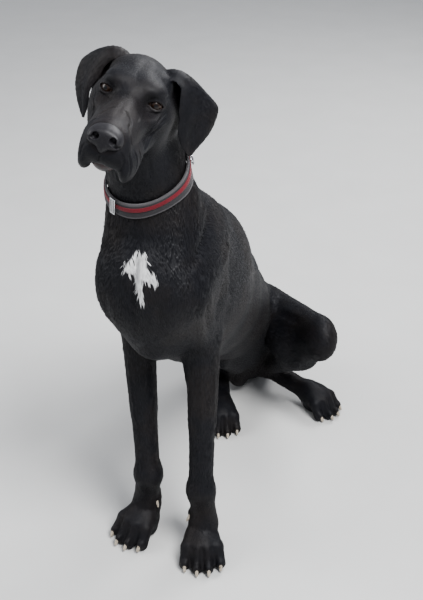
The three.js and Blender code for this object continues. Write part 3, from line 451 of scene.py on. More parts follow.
def points_of(mesh):
    co = np.empty(3 * len(mesh.vertices), np.float32)
    mesh.vertices.foreach_get("co", co)
    return co.reshape(-1, 3).astype(float)


def set_points(mesh, points):
    mesh.vertices.foreach_set("co", points.astype(np.float32).ravel())
    mesh.update()


def edges_of(mesh):
    pairs = np.empty(2 * len(mesh.edges), np.int32)
    mesh.edges.foreach_get("vertices", pairs)
    return pairs.reshape(-1, 2)


def relaxed(points, edges, share, chosen=None):
    """Each point moved a share of the way to the middle of its neighbours."""
    total = np.zeros_like(points)
    count = np.zeros(len(points))
    for a, b in ((0, 1), (1, 0)):
        for axis in range(3):
            total[:, axis] += np.bincount(edges[:, a], points[edges[:, b], axis], len(points))
        count += np.bincount(edges[:, a], minlength=len(points))
    moved = share * (total / np.maximum(count, 1)[:, None] - points)
    if chosen is not None:
        moved = moved * chosen[:, None]
    return points + moved


def in_scene(name, data):
    made = bpy.data.objects.new(name, data)
    bpy.context.scene.collection.objects.link(made)
    return made


def new_mesh(name, bm):
    mesh = bpy.data.meshes.new(name)
    bm.to_mesh(mesh)
    bm.free()
    return mesh


def new_object(name, bm):
    return in_scene(name, new_mesh(name, bm))


def new_ring(bm, points):
    """A closed ring of edges through the points."""
    verts = [bm.verts.new(p) for p in points]
    return [bm.edges.new((a, b)) for a, b in zip(verts, verts[1:] + verts[:1])]


def bridged(bm, rings, closed):
    """A skin over the rings, with capped ends unless the last one meets the first."""
    for a, b in zip(rings, rings[1:] + (rings[:1] if closed else [])):
        bmesh.ops.bridge_loops(bm, edges=a + b)
    if not closed:
        for ring in (rings[0], rings[-1]):
            bmesh.ops.contextual_create(bm, geom=ring)
    bmesh.ops.recalc_face_normals(bm, faces=bm.faces)


def with_modifier(obj, kind, **settings):
    """The object's mesh with one modifier applied."""
    modifier = obj.modifiers.new(kind, kind)
    for key, value in settings.items():
        setattr(modifier, key, value)
    bpy.context.view_layer.update()
    graph = bpy.context.evaluated_depsgraph_get()
    mesh = bpy.data.meshes.new_from_object(obj.evaluated_get(graph))
    obj.modifiers.clear()
    old, obj.data = obj.data, mesh
    bpy.data.meshes.remove(old)
    return mesh


def clay_object(name, strokes, voxel, extra=()):
    """The strokes as balls and cones, and any extra closed meshes, joined into one closed surface."""
    bm = bmesh.new()
    for stroke in strokes:
        if not stroke.removes:
            stroke.model(bm)
    for mesh in extra:
        bm.from_mesh(mesh)
    made = new_object(name, bm)
    with_modifier(made, "REMESH", mode="VOXEL", voxel_size=voxel)
    return made


def settled(mesh, strokes, held=None, depth=0.0, rounds=6):
    """Points slide onto the clay's surface, or to a depth under it."""
    points, edges = points_of(mesh), edges_of(mesh)
    free = np.ones(len(points)) if held is None else 1 - held
    for n in range(rounds):
        away = depth_in(strokes, points)
        slope = slope_in(strokes, points, away)
        points -= (np.clip(away + depth, -4, 4) * free)[:, None] * slope
        if n < rounds - 2:
            points = relaxed(points, edges, 0.5, free)
    set_points(mesh, points)


# Ears, lofted between a front and a rear edge on the head's own frame
EARS = {
    "left": {
        "front": [
            (-52, 24, 6), (-50, 44, 31), (-50, 60, 25), (-48, 66, 2),
            (-48, 72, -20), (-50, 78, -40), (-56, 88, -58), (-66, 101, -71),
        ],
        "rear": [
            (-92, 24, 4), (-98, 51, 24), (-106, 87, 22), (-110, 118, 8),
            (-108, 123, -14), (-100, 120, -38), (-90, 113, -56), (-75, 106, -72),
        ],
    },
    "right": {
        "front": [
            (-52, -24, 6), (-52, -43, 32), (-56, -55, 24), (-58, -63, 2),
            (-58, -71, -22), (-57, -69, -42), (-60, -67, -59), (-66, -69, -72),
        ],
        "rear": [
            (-92, -24, 4), (-98, -49, 26), (-105, -81, 24), (-108, -103, 4),
            (-105, -104, -24), (-95, -95, -46), (-82, -82, -63), (-73, -72, -73),
        ],
    },
}
EAR_RINGS = 36
EAR_STEPS = 20


def on_curve(stops, t):
    """A smooth curve through the stops, and its direction."""
    last = len(stops) - 1
    n = min(int(t * last), last - 1)
    w = t * last - n
    p = [np.array(stops[max(0, min(last, n + k))], float) for k in (-1, 0, 1, 2)]
    if n == 0:
        p[0] = 2 * p[1] - p[2]
    if n == last - 1:
        p[3] = 2 * p[2] - p[1]
    m1, m2 = (p[2] - p[0]) / 2, (p[3] - p[1]) / 2
    a, b = 2 * p[1] - 2 * p[2] + m1 + m2, -3 * p[1] + 3 * p[2] - 2 * m1 - m2
    return ((a * w + b) * w + m1) * w + p[1], (3 * a * w + 2 * b) * w + m1


def path_through(stops, steps):
    """Evenly spaced points on the curve through the stops."""
    return np.array([on_curve(stops, n / steps)[0] for n in range(steps + 1)])


def ear_mesh(side, fat=0.0):
    """One ear's flap, grown all round by fat for the surface to be walked on."""
    front, rear = EARS[side]["front"], EARS[side]["rear"]
    bm = bmesh.new()
    rings = []
    for r in range(EAR_RINGS + 1):
        t = r / EAR_RINGS
        (f, df), (b, db) = on_curve(front, t), on_curve(rear, t)
        along = unit(unit(df) + unit(db))
        normal = unit(np.cross(along, b - f)) * SIDES[side]
        cup = 5 * (1 - t) + 16 * smooth((0.45 - t) / 0.4)
        wide = unit(b - f)
        tip = unit(along) * fat * (r == EAR_RINGS)
        f, b = f - fat * wide + tip, b + fat * wide + tip
        upper, lower = [], []
        for n in range(EAR_STEPS + 1):
            w = n / EAR_STEPS
            wave = cup * math.sin(math.pi * w) + 2.5 * math.sin(3 * math.pi * w) * math.sin(math.pi * t)
            edge = math.sqrt(1 - (2 * w - 1) ** 4)
            thick = (EAR_THICKNESS / 2 - COAT_DEPTH / 2) * (1 - 0.3 * t) * edge + 0.8 * fat
            upper.append(head(*(mix(f, b, w) + (wave + thick) * normal)))
            lower.append(head(*(mix(f, b, w) + (wave - thick) * normal)))
        rings.append(new_ring(bm, upper + lower[-2:0:-1]))
    bridged(bm, rings, closed=False)
    return new_mesh("ear", bm)


# Skin detail: creases, muscles and ribs drawn on the surface, and the eyes' openings

# Each line: its stops, how deep it is cut (or raised, if negative), and its width
HEAD_LINES = [
    ([(12, 24, -7), (8, 32, -10), (2, 43, -10), (-9, 52, -4)], 1.1, 2.4),
    ([(-17, 56, -5), (-1, 53, -15), (17, 47, -26), (18, 43, -37), (32, 41, -48)], 2.2, 3.2),
    ([(-15, 57, -11), (0, 54, -24), (8, 46, -40), (22, 44, -52), (44, 47, -60)], 2.5, 3.8),
    ([(70, 4, -2), (72, 14, -6), (84, 22, -14), (99, 25, -20), (107, 33, -33), (97, 40, -48)], 1.8, 3.4),
    ([(124, 22, -46), (122, 31, -57), (116, 32, -76)], 1.1, 2.6),
    ([(116, 32, -46), (113, 41, -62), (110, 41, -84)], 1.7, 3.0),
    ([(98, 38, -46), (92, 45, -62), (92, 46, -82)], 1.8, 3.2),
    ([(76, 38, -50), (70, 44, -66), (66, 42, -84)], 1.9, 3.6),
    ([(52, 38, -52), (44, 44, -64), (36, 42, -78)], 1.6, 4.0),
    ([(22, 40, -70), (4, 44, -78), (-18, 48, -80)], 2.0, 5.0),
    ([(-8, 47, 14), (-22, 50, 14), (-36, 50, 16)], 1.0, 3.6),
    ([(20, 28, -8), (40, 27, -16), (62, 26, -22)], -1.0, 3.0),
]
MIDDLE_LINES = [
    ([(16, 0, 14), (-4, 0, 28), (-34, 0, 40), (-60, 0, 46)], 1.4, 12.0),
    ([(104, 0, -6), (70, 0, 0), (40, 0, 4)], 0.8, 7.0),
    ([(133, 0, -57), (134, 0, -66), (130, 0, -74)], 1.6, 2.2),
]
# The same for both sides, each stop as x, how far out from there, y and z
SHOULDER_LINES = [
    ([(-24, 52, 70, 700), (-22, 62, 10, 672), (-20, 58, -50, 636)], 5, 14),
    ([(-20, 46, -90, 610), (-20, 46, -86, 570), (-20, 46, -70, 525)], 3, 12),
]
BARREL_LINES = [
    ([(-20, 62, 132, 650), (-20, 72, 70, 620), (-20, 76, 0, 600)], -4, 10),
    ([(-20, 70, 110, 600), (-20, 84, 60, 560), (-20, 84, 30, 500)], 4, 12),
    ([(-20, 84, 122, 600), (-20, 92, 110, 540), (-20, 84, 100, 470)], 6, 14),
    ([(-20, 30, -76, 840), (-22, 34, -64, 800)], 1.2, 5),
    ([(-22, 16, -60, 850), (-22, 17, -52, 800)], 1.2, 4),
]
RIBS = 6


def body_lines():
    lines = [
        ([at(-14, -92, 700), at(-14, -96, 650), at(-14, -98, 600), at(-16, -86, 560)], 6, 12),
    ]
    for side, out in SIDES.items():

        def mirrored(table):
            return [
                ([at(x + out * wide, y, z) for x, wide, y, z in stops], depth, width)
                for stops, depth, width in table
            ]

        def off(joint, wide, y, z):
            return joint + at(out * wide, y, z)

        elbow, wrist = FORELEG[side]["elbow"], FORELEG[side]["wrist"]
        hip, knee, hock = (HINDLEG[side][key] for key in ("hip", "knee", "hock"))
        forearm = mix(elbow, wrist, 0.5)
        thigh, shank = mix(hip, knee, 0.5), mix(knee, hock, 0.5)
        lines += mirrored(SHOULDER_LINES)
        front = [at(-20 + out * 70, -40, 610), at(-20 + out * 74, 0, 540), off(elbow, 30, -30, 20)]
        lines.append((front, 5, 11))
        lines += mirrored(BARREL_LINES)
        lines += [
            ([off(elbow, 30, -10, 0), off(mix(elbow, wrist, 0.4), 26, 0, 0), off(wrist, 24, 4, 40)], 2, 6),
            ([off(elbow, 8, -36, -20), off(forearm, 10, -26, 0), wrist + at(0, -24, 20)], -1.2, 4),
            ([off(wrist, -10, 30, 60), off(mix(wrist, elbow, 0.5), -20, 26, 0)], 1.6, 5),
        ]
        for rib in range(RIBS):
            y = 185 + 30 * rib
            top = at(-24 + out * 78, y + 14, 590 - 24 * rib)
            low = at(-24 + out * 100, y - 12, 470 - 20 * rib)
            lines.append(([top, off(mix(top, low, 0.5), 12, 0, 0), low], 1.1, 8))
        lines += [
            ([off(hip, 60, -30, 30), off(thigh, 60, 0, 0), off(knee, 46, 24, -10)], 3, 12),
            ([off(hip, 40, -80, 60), off(mix(hip, knee, 0.6), 20, -50, 50)], 3, 10),
            ([off(knee, 26, 20, -46), off(shank, 26, 0, 0), off(hock, 22, -8, 20)], 2, 6),
        ]
    return lines


def drawn(points, normals, stops, depth, width):
    """Cuts a groove, or raises a ridge, along a curve through the surface's points nearest the stops."""
    settled_stops = []
    for stop in stops:
        near = np.argmin(np.linalg.norm(points - stop, axis=1))
        settled_stops.append(points[near])
    steps = 10 * (len(stops) - 1)
    line = path_through(settled_stops, steps)
    box = np.all((points > line.min(0) - 3 * width) & (points < line.max(0) + 3 * width), axis=1)
    chosen = np.flatnonzero(box)
    here = points[chosen]
    nearest = np.full(len(chosen), 1e9)
    along = np.zeros(len(chosen))
    for n, (a, b) in enumerate(zip(line, line[1:])):
        t = np.clip((here - a) @ (b - a) / max((b - a) @ (b - a), 1e-6), 0, 1)
        away = np.linalg.norm(here - a - t[:, None] * (b - a), axis=1)
        closer = away < nearest
        nearest[closer] = away[closer]
        along[closer] = (n + t[closer]) / steps
    fade = smooth(along / 0.2) * smooth((1 - along) / 0.25)
    cut = depth * np.exp(-((nearest / (0.6 * width)) ** 2))
    brim = -0.3 * depth * np.exp(-(((nearest - 1.3 * width) / (0.6 * width)) ** 2))
    points[chosen] -= ((cut + brim) * fade)[:, None] * normals[chosen]


def all_lines():
    lines = []
    for stops, depth, width in MIDDLE_LINES:
        lines.append(([head(*stop) for stop in stops], depth, width))
    for s in SIDES.values():
        for stops, depth, width in HEAD_LINES:
            sag = FLEW_SAG * (s < 0)
            lines.append(([head(f, s * l + sag * (u < -40), u) for f, l, u in stops], depth, width))
    return lines + body_lines()


LID_OPENING = (12.2, 6.4)  # half its width, and half its height at the upper lid
BALL_RADIUS = EYE_RADIUS - 0.1


def lid_heights(x):
    """The upper and lower lid's edge, x across the eye from its middle."""
    arch = np.maximum(1 - (x / LID_OPENING[0]) ** 2, 0)
    return LID_OPENING[1] * arch**0.7, -0.85 * LID_OPENING[1] * arch**0.85


def in_opening(eye, points):
    """The points in the eye's own frame, and how far each is inside the lids' edge."""
    q = (points - eye.centre) @ eye.axes.T
    top, low = lid_heights(q[:, 0])
    return q, np.minimum(top - q[:, 1], q[:, 1] - low)


def open_eyes(points):
    """Pushes the skin inside each lid's edge back behind the eyeball."""
    for eye in eyes.values():
        q, inside = in_opening(eye, points)
        inside = np.where((q[:, 2] > 0) & (np.abs(q[:, 0]) < LID_OPENING[0]), inside, -9)
        inside[np.linalg.norm(q, axis=1) > EYE_RADIUS + 10] = -9
        points -= (6.5 * smooth(inside / 1.3))[:, None] * eye.out
        swell = np.exp(-(((inside + 1.6) / 1.2) ** 2)) * (inside > -6)
        points += (0.5 * swell)[:, None] * eye.out


# Which way the coat runs, and the frame of the stroke it grows on
OBLIQUE = at(0.31, 0.17, 0.93)  # along no stroke's lie


def stroke_frame(stroke):
    lie = -UP if stroke.lie is None else stroke.lie
    across = unit(np.cross(lie, OBLIQUE))
    return np.array([across, np.cross(lie, across), lie])


added = [s for s in body if not s.removes]
added_frames = np.array([stroke_frame(s) for s in added])
added_centres = np.array([s.centre for s in added])


def growth_on(points):
    """The blended lie at each point, and the nearest stroke."""
    lie = np.zeros_like(points)
    best = np.full(len(points), 1e9)
    owner = np.zeros(len(points), int)
    for chosen, here, near in by_cell(added, points):
        for n in near:
            e = added[n].distance(here)
            closer = e < best[chosen]
            best[chosen[closer]] = e[closer]
            owner[chosen[closer]] = n
            lie[chosen] += np.exp(-np.clip(e, -30, 80) / 9)[:, None] * added_frames[n, 2]
    return lie / np.maximum(np.linalg.norm(lie, axis=1, keepdims=True), 1e-9), owner


MARK_SHARPNESS = 5

# The white mark on the chest: lobes as (x, z), half width and half height, and turn in degrees
MARK = [
    ((-14, 669), (11, 19), 6),
    ((-22, 661), (12, 11), -10),
    ((-7, 664), (11, 18), -12),
    ((4, 653), (16, 10), -26),
    ((15, 646), (10, 8), -32),
    ((-8, 641), (8, 16), 12),
    ((-2, 621), (5, 17), 10),
]


def mark_at(points):
    """How far inside the white mark: about 1 in a lobe's middle, 0 at the edge, then negative."""
    joined = np.zeros(len(points))
    for (x, z), (wide, high), turn in MARK:
        c, s = math.cos(math.radians(turn)), math.sin(math.radians(turn))
        dx, dz = points[:, 0] - x, points[:, 2] - z
        away = np.hypot((c * dx + s * dz) / wide, (c * dz - s * dx) / high)
        joined += np.exp(-MARK_SHARPNESS * np.minimum(away, 9))
    return np.where(points[:, 1] < -40, 1 + np.log(joined + 1e-30) / MARK_SHARPNESS, -9)


def bare_at(points):
    """1 on the bare skin of the lids, lips and nose, 0 in the coat."""
    bare = np.zeros(len(points))
    for eye in eyes.values():
        q, inside = in_opening(eye, points)
        near = (q[:, 2] > 0) & (np.linalg.norm(q, axis=1) < EYE_RADIUS + 8)
        bare = np.maximum(bare, np.where(near, smooth((inside + 3) / 1.5), 0))
    q = (points - head.origin) @ head.axes.T
    lip = smooth((-q[:, 2] - 84) / 5) * smooth((q[:, 0] - 20) / 15) * smooth((32 - np.abs(q[:, 1] - 3)) / 6)
    lip = np.maximum(lip, smooth((3 - depth_in(jaw_front, points)) / 2) * (q[:, 0] > 30))
    nose = smooth((30 - np.linalg.norm(q - (120, 0, -32), axis=1)) / 5)
    return np.maximum(bare, np.maximum(lip, nose))


SKIN_VOXEL = 2.8
SKIN_TRIANGLES = 135000
EAR_FAT = 2.4
SOLE_HEIGHT = 0.3
LINE_MARGIN = 25
LINE_STEPS = 24


def near_head(points):
    """1 on the head and ears, falling to 0 down the neck."""
    ahead = (points - head.origin) @ head.axes.T
    return smooth((ahead[:, 0] + 0.4 * ahead[:, 2] + 170) / 50) * (points[:, 2] > 780)


def near_feet(points):
    reach = np.full(len(points), 1e9)
    for place in feet.values():
        reach = np.minimum(reach, np.linalg.norm((points - place(30, 0, 25)) * (1, 1, 0.8), axis=1))
    return smooth((110 - reach) / 30)


def split_where(mesh, chosen):
    """Every edge with both ends chosen is halved."""
    bm = bmesh.new()
    bm.from_mesh(mesh)
    edges = [e for e in bm.edges if chosen[e.verts[0].index] and chosen[e.verts[1].index]]
    bmesh.ops.subdivide_edges(bm, edges=edges, cuts=1, use_grid_fill=True)
    bmesh.ops.triangulate(bm, faces=bm.faces)
    bm.to_mesh(mesh)
    bm.free()


def near_lines(points, lines, reach):
    near = np.zeros(len(points), bool)
    for stops, _, width in lines:
        stops = np.array(stops)
        margin = LINE_MARGIN
        box = np.all((points > stops.min(0) - margin) & (points < stops.max(0) + margin), axis=1)
        chosen = np.flatnonzero(box)
        line = path_through(stops, LINE_STEPS)
        away = np.linalg.norm(points[chosen, None] - line[None], axis=2).min(1)
        near[chosen] |= away < reach + width
    return near


def skin():
    ears = [ear_mesh(side) for side in SIDES]
    made = clay_object("skin", body, SKIN_VOXEL, [ear_mesh(side, EAR_FAT) for side in SIDES])
    with_modifier(made, "TRIANGULATE")
    points = points_of(made.data)
    loose = 1 - np.maximum.reduce([near_head(points), near_feet(points), mark_at(points) > -0.8])
    group = made.vertex_groups.new(name="loose")
    for level in (0.25, 0.5, 0.75, 1.0):
        chosen = np.flatnonzero((loose > level - 0.25) & (loose <= level))
        group.add(chosen.tolist(), level, "REPLACE")
    ratio = SKIN_TRIANGLES / len(made.data.polygons)
    mesh = with_modifier(
        made, "DECIMATE", ratio=min(1, ratio), vertex_group="loose", vertex_group_factor=1.0
    )
    made.vertex_groups.clear()
    lay_on_ears(mesh, ears, 6)

    lines = all_lines()
    face_lines = [line for line in lines if line[2] < 5]
    points = points_of(mesh)
    split_where(mesh, near_lines(points, face_lines, 3) | (mark_at(points) > -0.5))
    for reach in (21, 18):
        points = points_of(mesh)
        from_eye = np.min([np.linalg.norm(points - e.centre, axis=1) for e in eyes.values()], 0)
        split_where(mesh, from_eye < reach)
    points = points_of(mesh)
    split_where(mesh, np.abs(mark_at(points)) < 0.3)
    points = points_of(mesh)
    held, _ = held_by_ears(points, ears)
    fine = near_lines(points, face_lines, 6)
    for eye in eyes.values():
        fine |= np.linalg.norm(points - eye.centre, axis=1) < 30
    settled(mesh, body, np.maximum(held, ~fine), COAT_DEPTH, 4)

    points = points_of(mesh)
    for stops, depth, width in lines:
        drawn(points, normals_of(mesh), stops, depth, width)
    open_eyes(points)
    points[:, 2] = np.maximum(points[:, 2], SOLE_HEIGHT)
    set_points(mesh, points)
    return made


def lay_on_ears(mesh, ears, rounds):
    """The clay settles, and the ears' part of the surface lies on the ears themselves."""
    held, target = held_by_ears(points_of(mesh), ears)
    settled(mesh, body, held, COAT_DEPTH, rounds)
    set_points(mesh, mix(points_of(mesh), target, held[:, None]))


def held_by_ears(points, ears):
    """1 where the surface is the ears' own, which the clay doesn't reach, and its place on them."""
    depth = depth_in(body, points)
    held = np.zeros(len(points))
    target = points.copy()
    for ear in ears:
        tree = bvhtree.BVHTree.FromPolygons([v.co for v in ear.vertices], [p.vertices for p in ear.polygons])
        box = points_of(ear)
        close = np.all((points > box.min(0) - 8) & (points < box.max(0) + 8), axis=1) & (depth > 1)
        for n in np.flatnonzero(close):
            spot = tree.find_nearest(Vector(points[n]), 9)[0]
            if spot is not None:
                held[n] = smooth((depth[n] - 1) / 5)
                target[n] = spot
    return held, target


# Finishes


class Value:
    """A socket of a material, for sums written as expressions."""

    def __init__(self, finish, socket):
        self.finish = finish
        self.socket = socket

    def maths(self, operation, a, b=0.0):
        return self.finish.node("ShaderNodeMath", {"operation": operation}, {0: a, 1: b})

    def __add__(self, other):
        return self.maths("ADD", self, other)

    __radd__ = __add__

    def __sub__(self, other):
        return self.maths("SUBTRACT", self, other)

    def __rsub__(self, other):
        return self.maths("SUBTRACT", other, self)

    def __mul__(self, other):
        return self.maths("MULTIPLY", self, other)

    __rmul__ = __mul__

    def above(self, low, high):
        """0 under low, 1 over high, smooth between."""
        settings = {"interpolation_type": "SMOOTHSTEP"}
        inputs = {"Value": self, "From Min": low, "From Max": high}
        return self.finish.node("ShaderNodeMapRange", settings, inputs)

    def wave(self):
        return self.maths("SINE", self)


class Finish:
    """A material and its Principled shader."""

    def __init__(self, name, **constants):
        self.material = bpy.data.materials.new(name)
        self.material.use_nodes = True
        self.tree = self.material.node_tree
        self.shader = self.tree.nodes["Principled BSDF"]
        for socket, value in constants.items():
            self.shader.inputs[socket.replace("_", " ")].default_value = value

    def node(self, kind, settings=None, inputs=None, output=0):
        made = self.tree.nodes.new(kind)
        for key, value in (settings or {}).items():
            setattr(made, key, value)
        for key, value in (inputs or {}).items():
            self.feed(made.inputs[key], value)
        return Value(self, made.outputs[output])

    def feed(self, socket, value):
        if isinstance(value, Value):
            self.tree.links.new(value.socket, socket)
        else:
            socket.default_value = value

    def place(self, scale=1.0, stretch=(1, 1, 1)):
        """Object coordinates in metres, scaled and stretched."""
        spot = self.node("ShaderNodeTexCoord", output="Object")
        size = tuple(scale * s for s in stretch)
        return self.node("ShaderNodeVectorMath", {"operation": "MULTIPLY"}, {0: spot, 1: size})

    def attribute(self, name, output="Fac"):
        return self.node("ShaderNodeAttribute", {"attribute_name": name}, output=output)

    def stretched(self, name, size):
        """A vector attribute, scaled by the axis."""
        spot = self.attribute(name, "Vector")
        return self.node("ShaderNodeVectorMath", {"operation": "MULTIPLY"}, {0: spot, 1: size})

    def noise(self, place, scale=1.0, detail=2.0, roughness=0.5):
        inputs = {"Vector": place, "Scale": scale, "Detail": detail, "Roughness": roughness}
        return self.node("ShaderNodeTexNoise", inputs=inputs)

    def pebbles(self, place, scale):
        return self.node("ShaderNodeTexVoronoi", inputs={"Vector": place, "Scale": scale})

    def blend(self, share, a, b):
        """Colour a where the share is 0, b where it is 1."""
        a = a if isinstance(a, Value) else (*a, 1)
        b = b if isinstance(b, Value) else (*b, 1)
        return self.node(
            "ShaderNodeMix", {"data_type": "RGBA"}, {"Factor": share, 6: a, 7: b}, output=2
        )

    def bump(self, height, distance, strength=1.0):
        inputs = {"Strength": strength, "Distance": distance, "Height": height}
        self.feed(self.shader.inputs["Normal"], self.node("ShaderNodeBump", inputs=inputs))

    def finish(self, **inputs):
        for socket, value in inputs.items():
            self.feed(self.shader.inputs[socket.replace("_", " ")], value)
        return self.material


BLACK_COAT = (0.0075, 0.0078, 0.0105)
BROWNER_COAT = (0.015, 0.0125, 0.0125)
# Painted highlight: the lighter grey that the tufts' tips are blended toward, standing in for light caught
# on the hair tips
LIT_COAT = (0.026, 0.026, 0.031)
WHITE_COAT = (0.62, 0.62, 0.62)
COAT_SHEEN = {"Sheen_Weight": 0.02, "Sheen_Roughness": 0.4}
BARE_SKIN = (0.010, 0.008, 0.009)
MOUTH_RED = (0.034, 0.006, 0.007)


def coat_colour(finish):
    """The black coat's slow changes, with the white mark over it."""
    patches = finish.noise(finish.place(9.0), 1.0, 3.0, 0.6).above(0.42, 0.66)
    black = finish.blend(patches, BLACK_COAT, BROWNER_COAT)
    return finish.blend(finish.attribute("mark"), black, WHITE_COAT)


def skin_finish():
    finish = Finish("coat_skin", **COAT_SHEEN, Specular_IOR_Level=0.27)
    bare = finish.attribute("bare")
    colour = finish.blend(bare, coat_colour(finish), BARE_SKIN)
    streaks = finish.noise(finish.stretched("grain", (900.0, 900.0, 110.0)), 1.0, 3.0, 0.6)
    coarse = finish.noise(finish.stretched("grain", (260.0, 260.0, 40.0)), 1.0, 2.0)
    pebbles = finish.pebbles(finish.place(700.0), 1.0)
    hair = streaks * 0.6 + coarse * 0.4
    finish.bump(hair * (1 - bare) + pebbles * bare * 0.5, 0.0012, 0.7)
    return finish.finish(Base_Color=colour, Roughness=0.55 - 0.13 * bare + 0.14 * (coarse - 0.5))


def tuft_finish():
    finish = Finish("coat_tufts", **COAT_SHEEN, Specular_IOR_Level=0.25)
    # Painted highlight: the tufts' colour runs from the coat's own at the root to a lighter grey at the tip
    tip_highlight = finish.attribute("tip_highlight")
    lit = finish.blend(tip_highlight, coat_colour(finish), LIT_COAT)
    colour = finish.blend(finish.attribute("mark"), lit, WHITE_COAT)
    return finish.finish(Base_Color=colour, Roughness=0.5 + 0.12 * tip_highlight)


def nose_finish():
    finish = Finish("nose_leather", Specular_IOR_Level=0.36, Coat_Weight=0.12, Coat_Roughness=0.35)
    place = finish.place()
    cells = finish.pebbles(place, 620.0)
    fine = finish.noise(place, 1500.0, 2.0)
    colour = finish.blend(cells.above(0.1, 0.7), (0.006, 0.006, 0.008), (0.016, 0.015, 0.018))
    finish.bump(1 - cells + 0.25 * fine, 0.0006, 0.5)
    return finish.finish(Base_Color=colour, Roughness=0.42 + 0.14 * fine)


def lip_finish():
    finish = Finish("lip", Specular_IOR_Level=0.6, Coat_Weight=0.4, Coat_Roughness=0.2)
    place = finish.place()
    blotch = finish.noise(place, 60.0, 3.0)
    fine = finish.pebbles(place, 900.0)
    finish.bump(fine, 0.0004, 0.4)
    colour = finish.blend(blotch.above(0.35, 0.6), BARE_SKIN, MOUTH_RED)
    return finish.finish(Base_Color=colour, Roughness=0.35)


def rim_finish():
    finish = Finish("lid_rim", Specular_IOR_Level=0.45, Coat_Weight=0.2, Coat_Roughness=0.25)
    fine = finish.noise(finish.place(), 1800.0, 2.0)
    finish.bump(fine, 0.0002, 0.4)
    colour = finish.blend(fine, (0.006, 0.005, 0.005), (0.02, 0.014, 0.012))
    return finish.finish(Base_Color=colour, Roughness=0.35)


def eye_finish():
    """Rings round the way the eye looks: pupil, iris with its spokes, dark edge and brownish white."""
    finish = Finish("eye_wet", Specular_IOR_Level=0.45, Coat_Weight=0.5, Coat_Roughness=0.02, Coat_IOR=1.38)
    gaze = finish.attribute("gaze")
    spokes = finish.noise(finish.stretched("spoke", (9.0, 9.0, 1.2)), 1.0, 3.0, 0.65)
    iris = finish.blend(spokes.above(0.3, 0.72), (0.008, 0.004, 0.002), (0.034, 0.014, 0.006))
    iris = finish.blend(gaze.above(0.30, 0.40), iris, (0.006, 0.004, 0.003))
    blotches = finish.noise(finish.place(), 500.0, 3.0)
    white = finish.blend(blotches, (0.055, 0.030, 0.022), (0.14, 0.10, 0.085))
    colour = finish.blend(gaze.above(0.145, 0.165), (0.0015, 0.0015, 0.002), iris)
    return finish.finish(Base_Color=finish.blend(gaze.above(0.41, 0.47), colour, white), Roughness=0.25)


def claw_finish():
    finish = Finish("horn", Specular_IOR_Level=0.55, Coat_Weight=0.2, Coat_Roughness=0.3)
    streaks = finish.noise(finish.place(1.0, (700, 700, 160)), 1.0, 4.0, 0.6)
    stain = finish.noise(finish.place(), 120.0, 3.0)
    pale = finish.blend(streaks.above(0.3, 0.7), (0.30, 0.25, 0.19), (0.55, 0.50, 0.42))
    colour = finish.blend(stain.above(0.5, 0.75), pale, (0.16, 0.125, 0.09))
    finish.bump(streaks, 0.0003, 0.5)
    return finish.finish(Base_Color=colour, Roughness=0.32 + 0.16 * stain)


THREADS = 2 * math.pi / 0.0011  # one rib of the weave


def webbing_finish(name, low, high, edge, edge_share):
    """Ribbed weave along the strap; the strap's own map runs along it and up from its middle, in metres."""
    finish = Finish(name, Sheen_Weight=0.3, Sheen_Roughness=0.4, Specular_IOR_Level=0.3)
    strap = finish.attribute("strap", "Vector")
    along, up = (finish.node("ShaderNodeSeparateXYZ", inputs={0: strap}, output=axis) for axis in "XY")
    ribs = (along * THREADS).wave() * 0.5 + 0.5
    threads = (up * THREADS * 1.4 + ribs * 1.6).wave() * 0.5 + 0.5
    fuzz = finish.noise(finish.place(), 900.0, 3.0)
    wear = finish.noise(finish.place(), 45.0, 3.0)
    colour = finish.blend(ribs * 0.35 + threads * 0.35 + wear * 0.3, low, high)
    if edge_share:
        border = up.maths("ABSOLUTE", up).above(0.0082, 0.0094)
        colour = finish.blend(border * edge_share, colour, edge)
    finish.bump(ribs * 0.5 + threads * 0.3 + fuzz * 0.2, 0.0005, 0.7)
    return finish.finish(Base_Color=colour, Roughness=0.72 + 0.16 * fuzz)


def steel_finish():
    finish = Finish("polished_steel", Metallic=1.0)
    scratches = finish.noise(finish.place(1.0, (400, 400, 2400)), 1.0, 2.0)
    dull = finish.noise(finish.place(), 160.0, 3.0)
    colour = finish.blend(dull, (0.52, 0.53, 0.55), (0.74, 0.75, 0.77))
    finish.bump(scratches, 0.00006, 0.3)
    return finish.finish(Base_Color=colour, Roughness=0.14 + 0.22 * dull * scratches)


def floor_finish():
    finish = Finish("pale_floor")
    grain = finish.noise(finish.place(), 6.0, 4.0)
    colour = finish.blend(grain, (0.60, 0.60, 0.59), (0.66, 0.66, 0.65))
    return finish.finish(Base_Color=colour, Roughness=0.85)


# Pieces


def normals_of(mesh):
    normals = np.empty(3 * len(mesh.vertices), np.float32)
    mesh.update()
    mesh.vertex_normals.foreach_get("vector", normals)
    return normals.reshape(-1, 3).astype(float)


def triangles_of(mesh):
    """Each face's three points; the mesh is all triangles."""
    corners = np.empty(3 * len(mesh.polygons), np.int32)
    mesh.polygons.foreach_get("vertices", corners)
    return corners.reshape(-1, 3)


def add_values(mesh, name, values, domain="POINT"):
    """A number or a vector on each point or face corner, for the finishes to read."""
    kind, key = ("FLOAT", "value") if values.ndim == 1 else ("FLOAT_VECTOR", "vector")
    layer = mesh.attributes.new(name, kind, domain)
    layer.data.foreach_set(key, values.astype(np.float32).ravel())


def put_in(piece, material, slot, *nodes):
    """The finished piece: smooth, with its finish, on the dog's one body."""
    piece.data.polygons.foreach_set("use_smooth", [True] * len(piece.data.polygons))
    piece.data.materials.clear()
    piece.data.materials.append(material)
    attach(piece, "root")
    if nodes:
        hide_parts(*nodes)


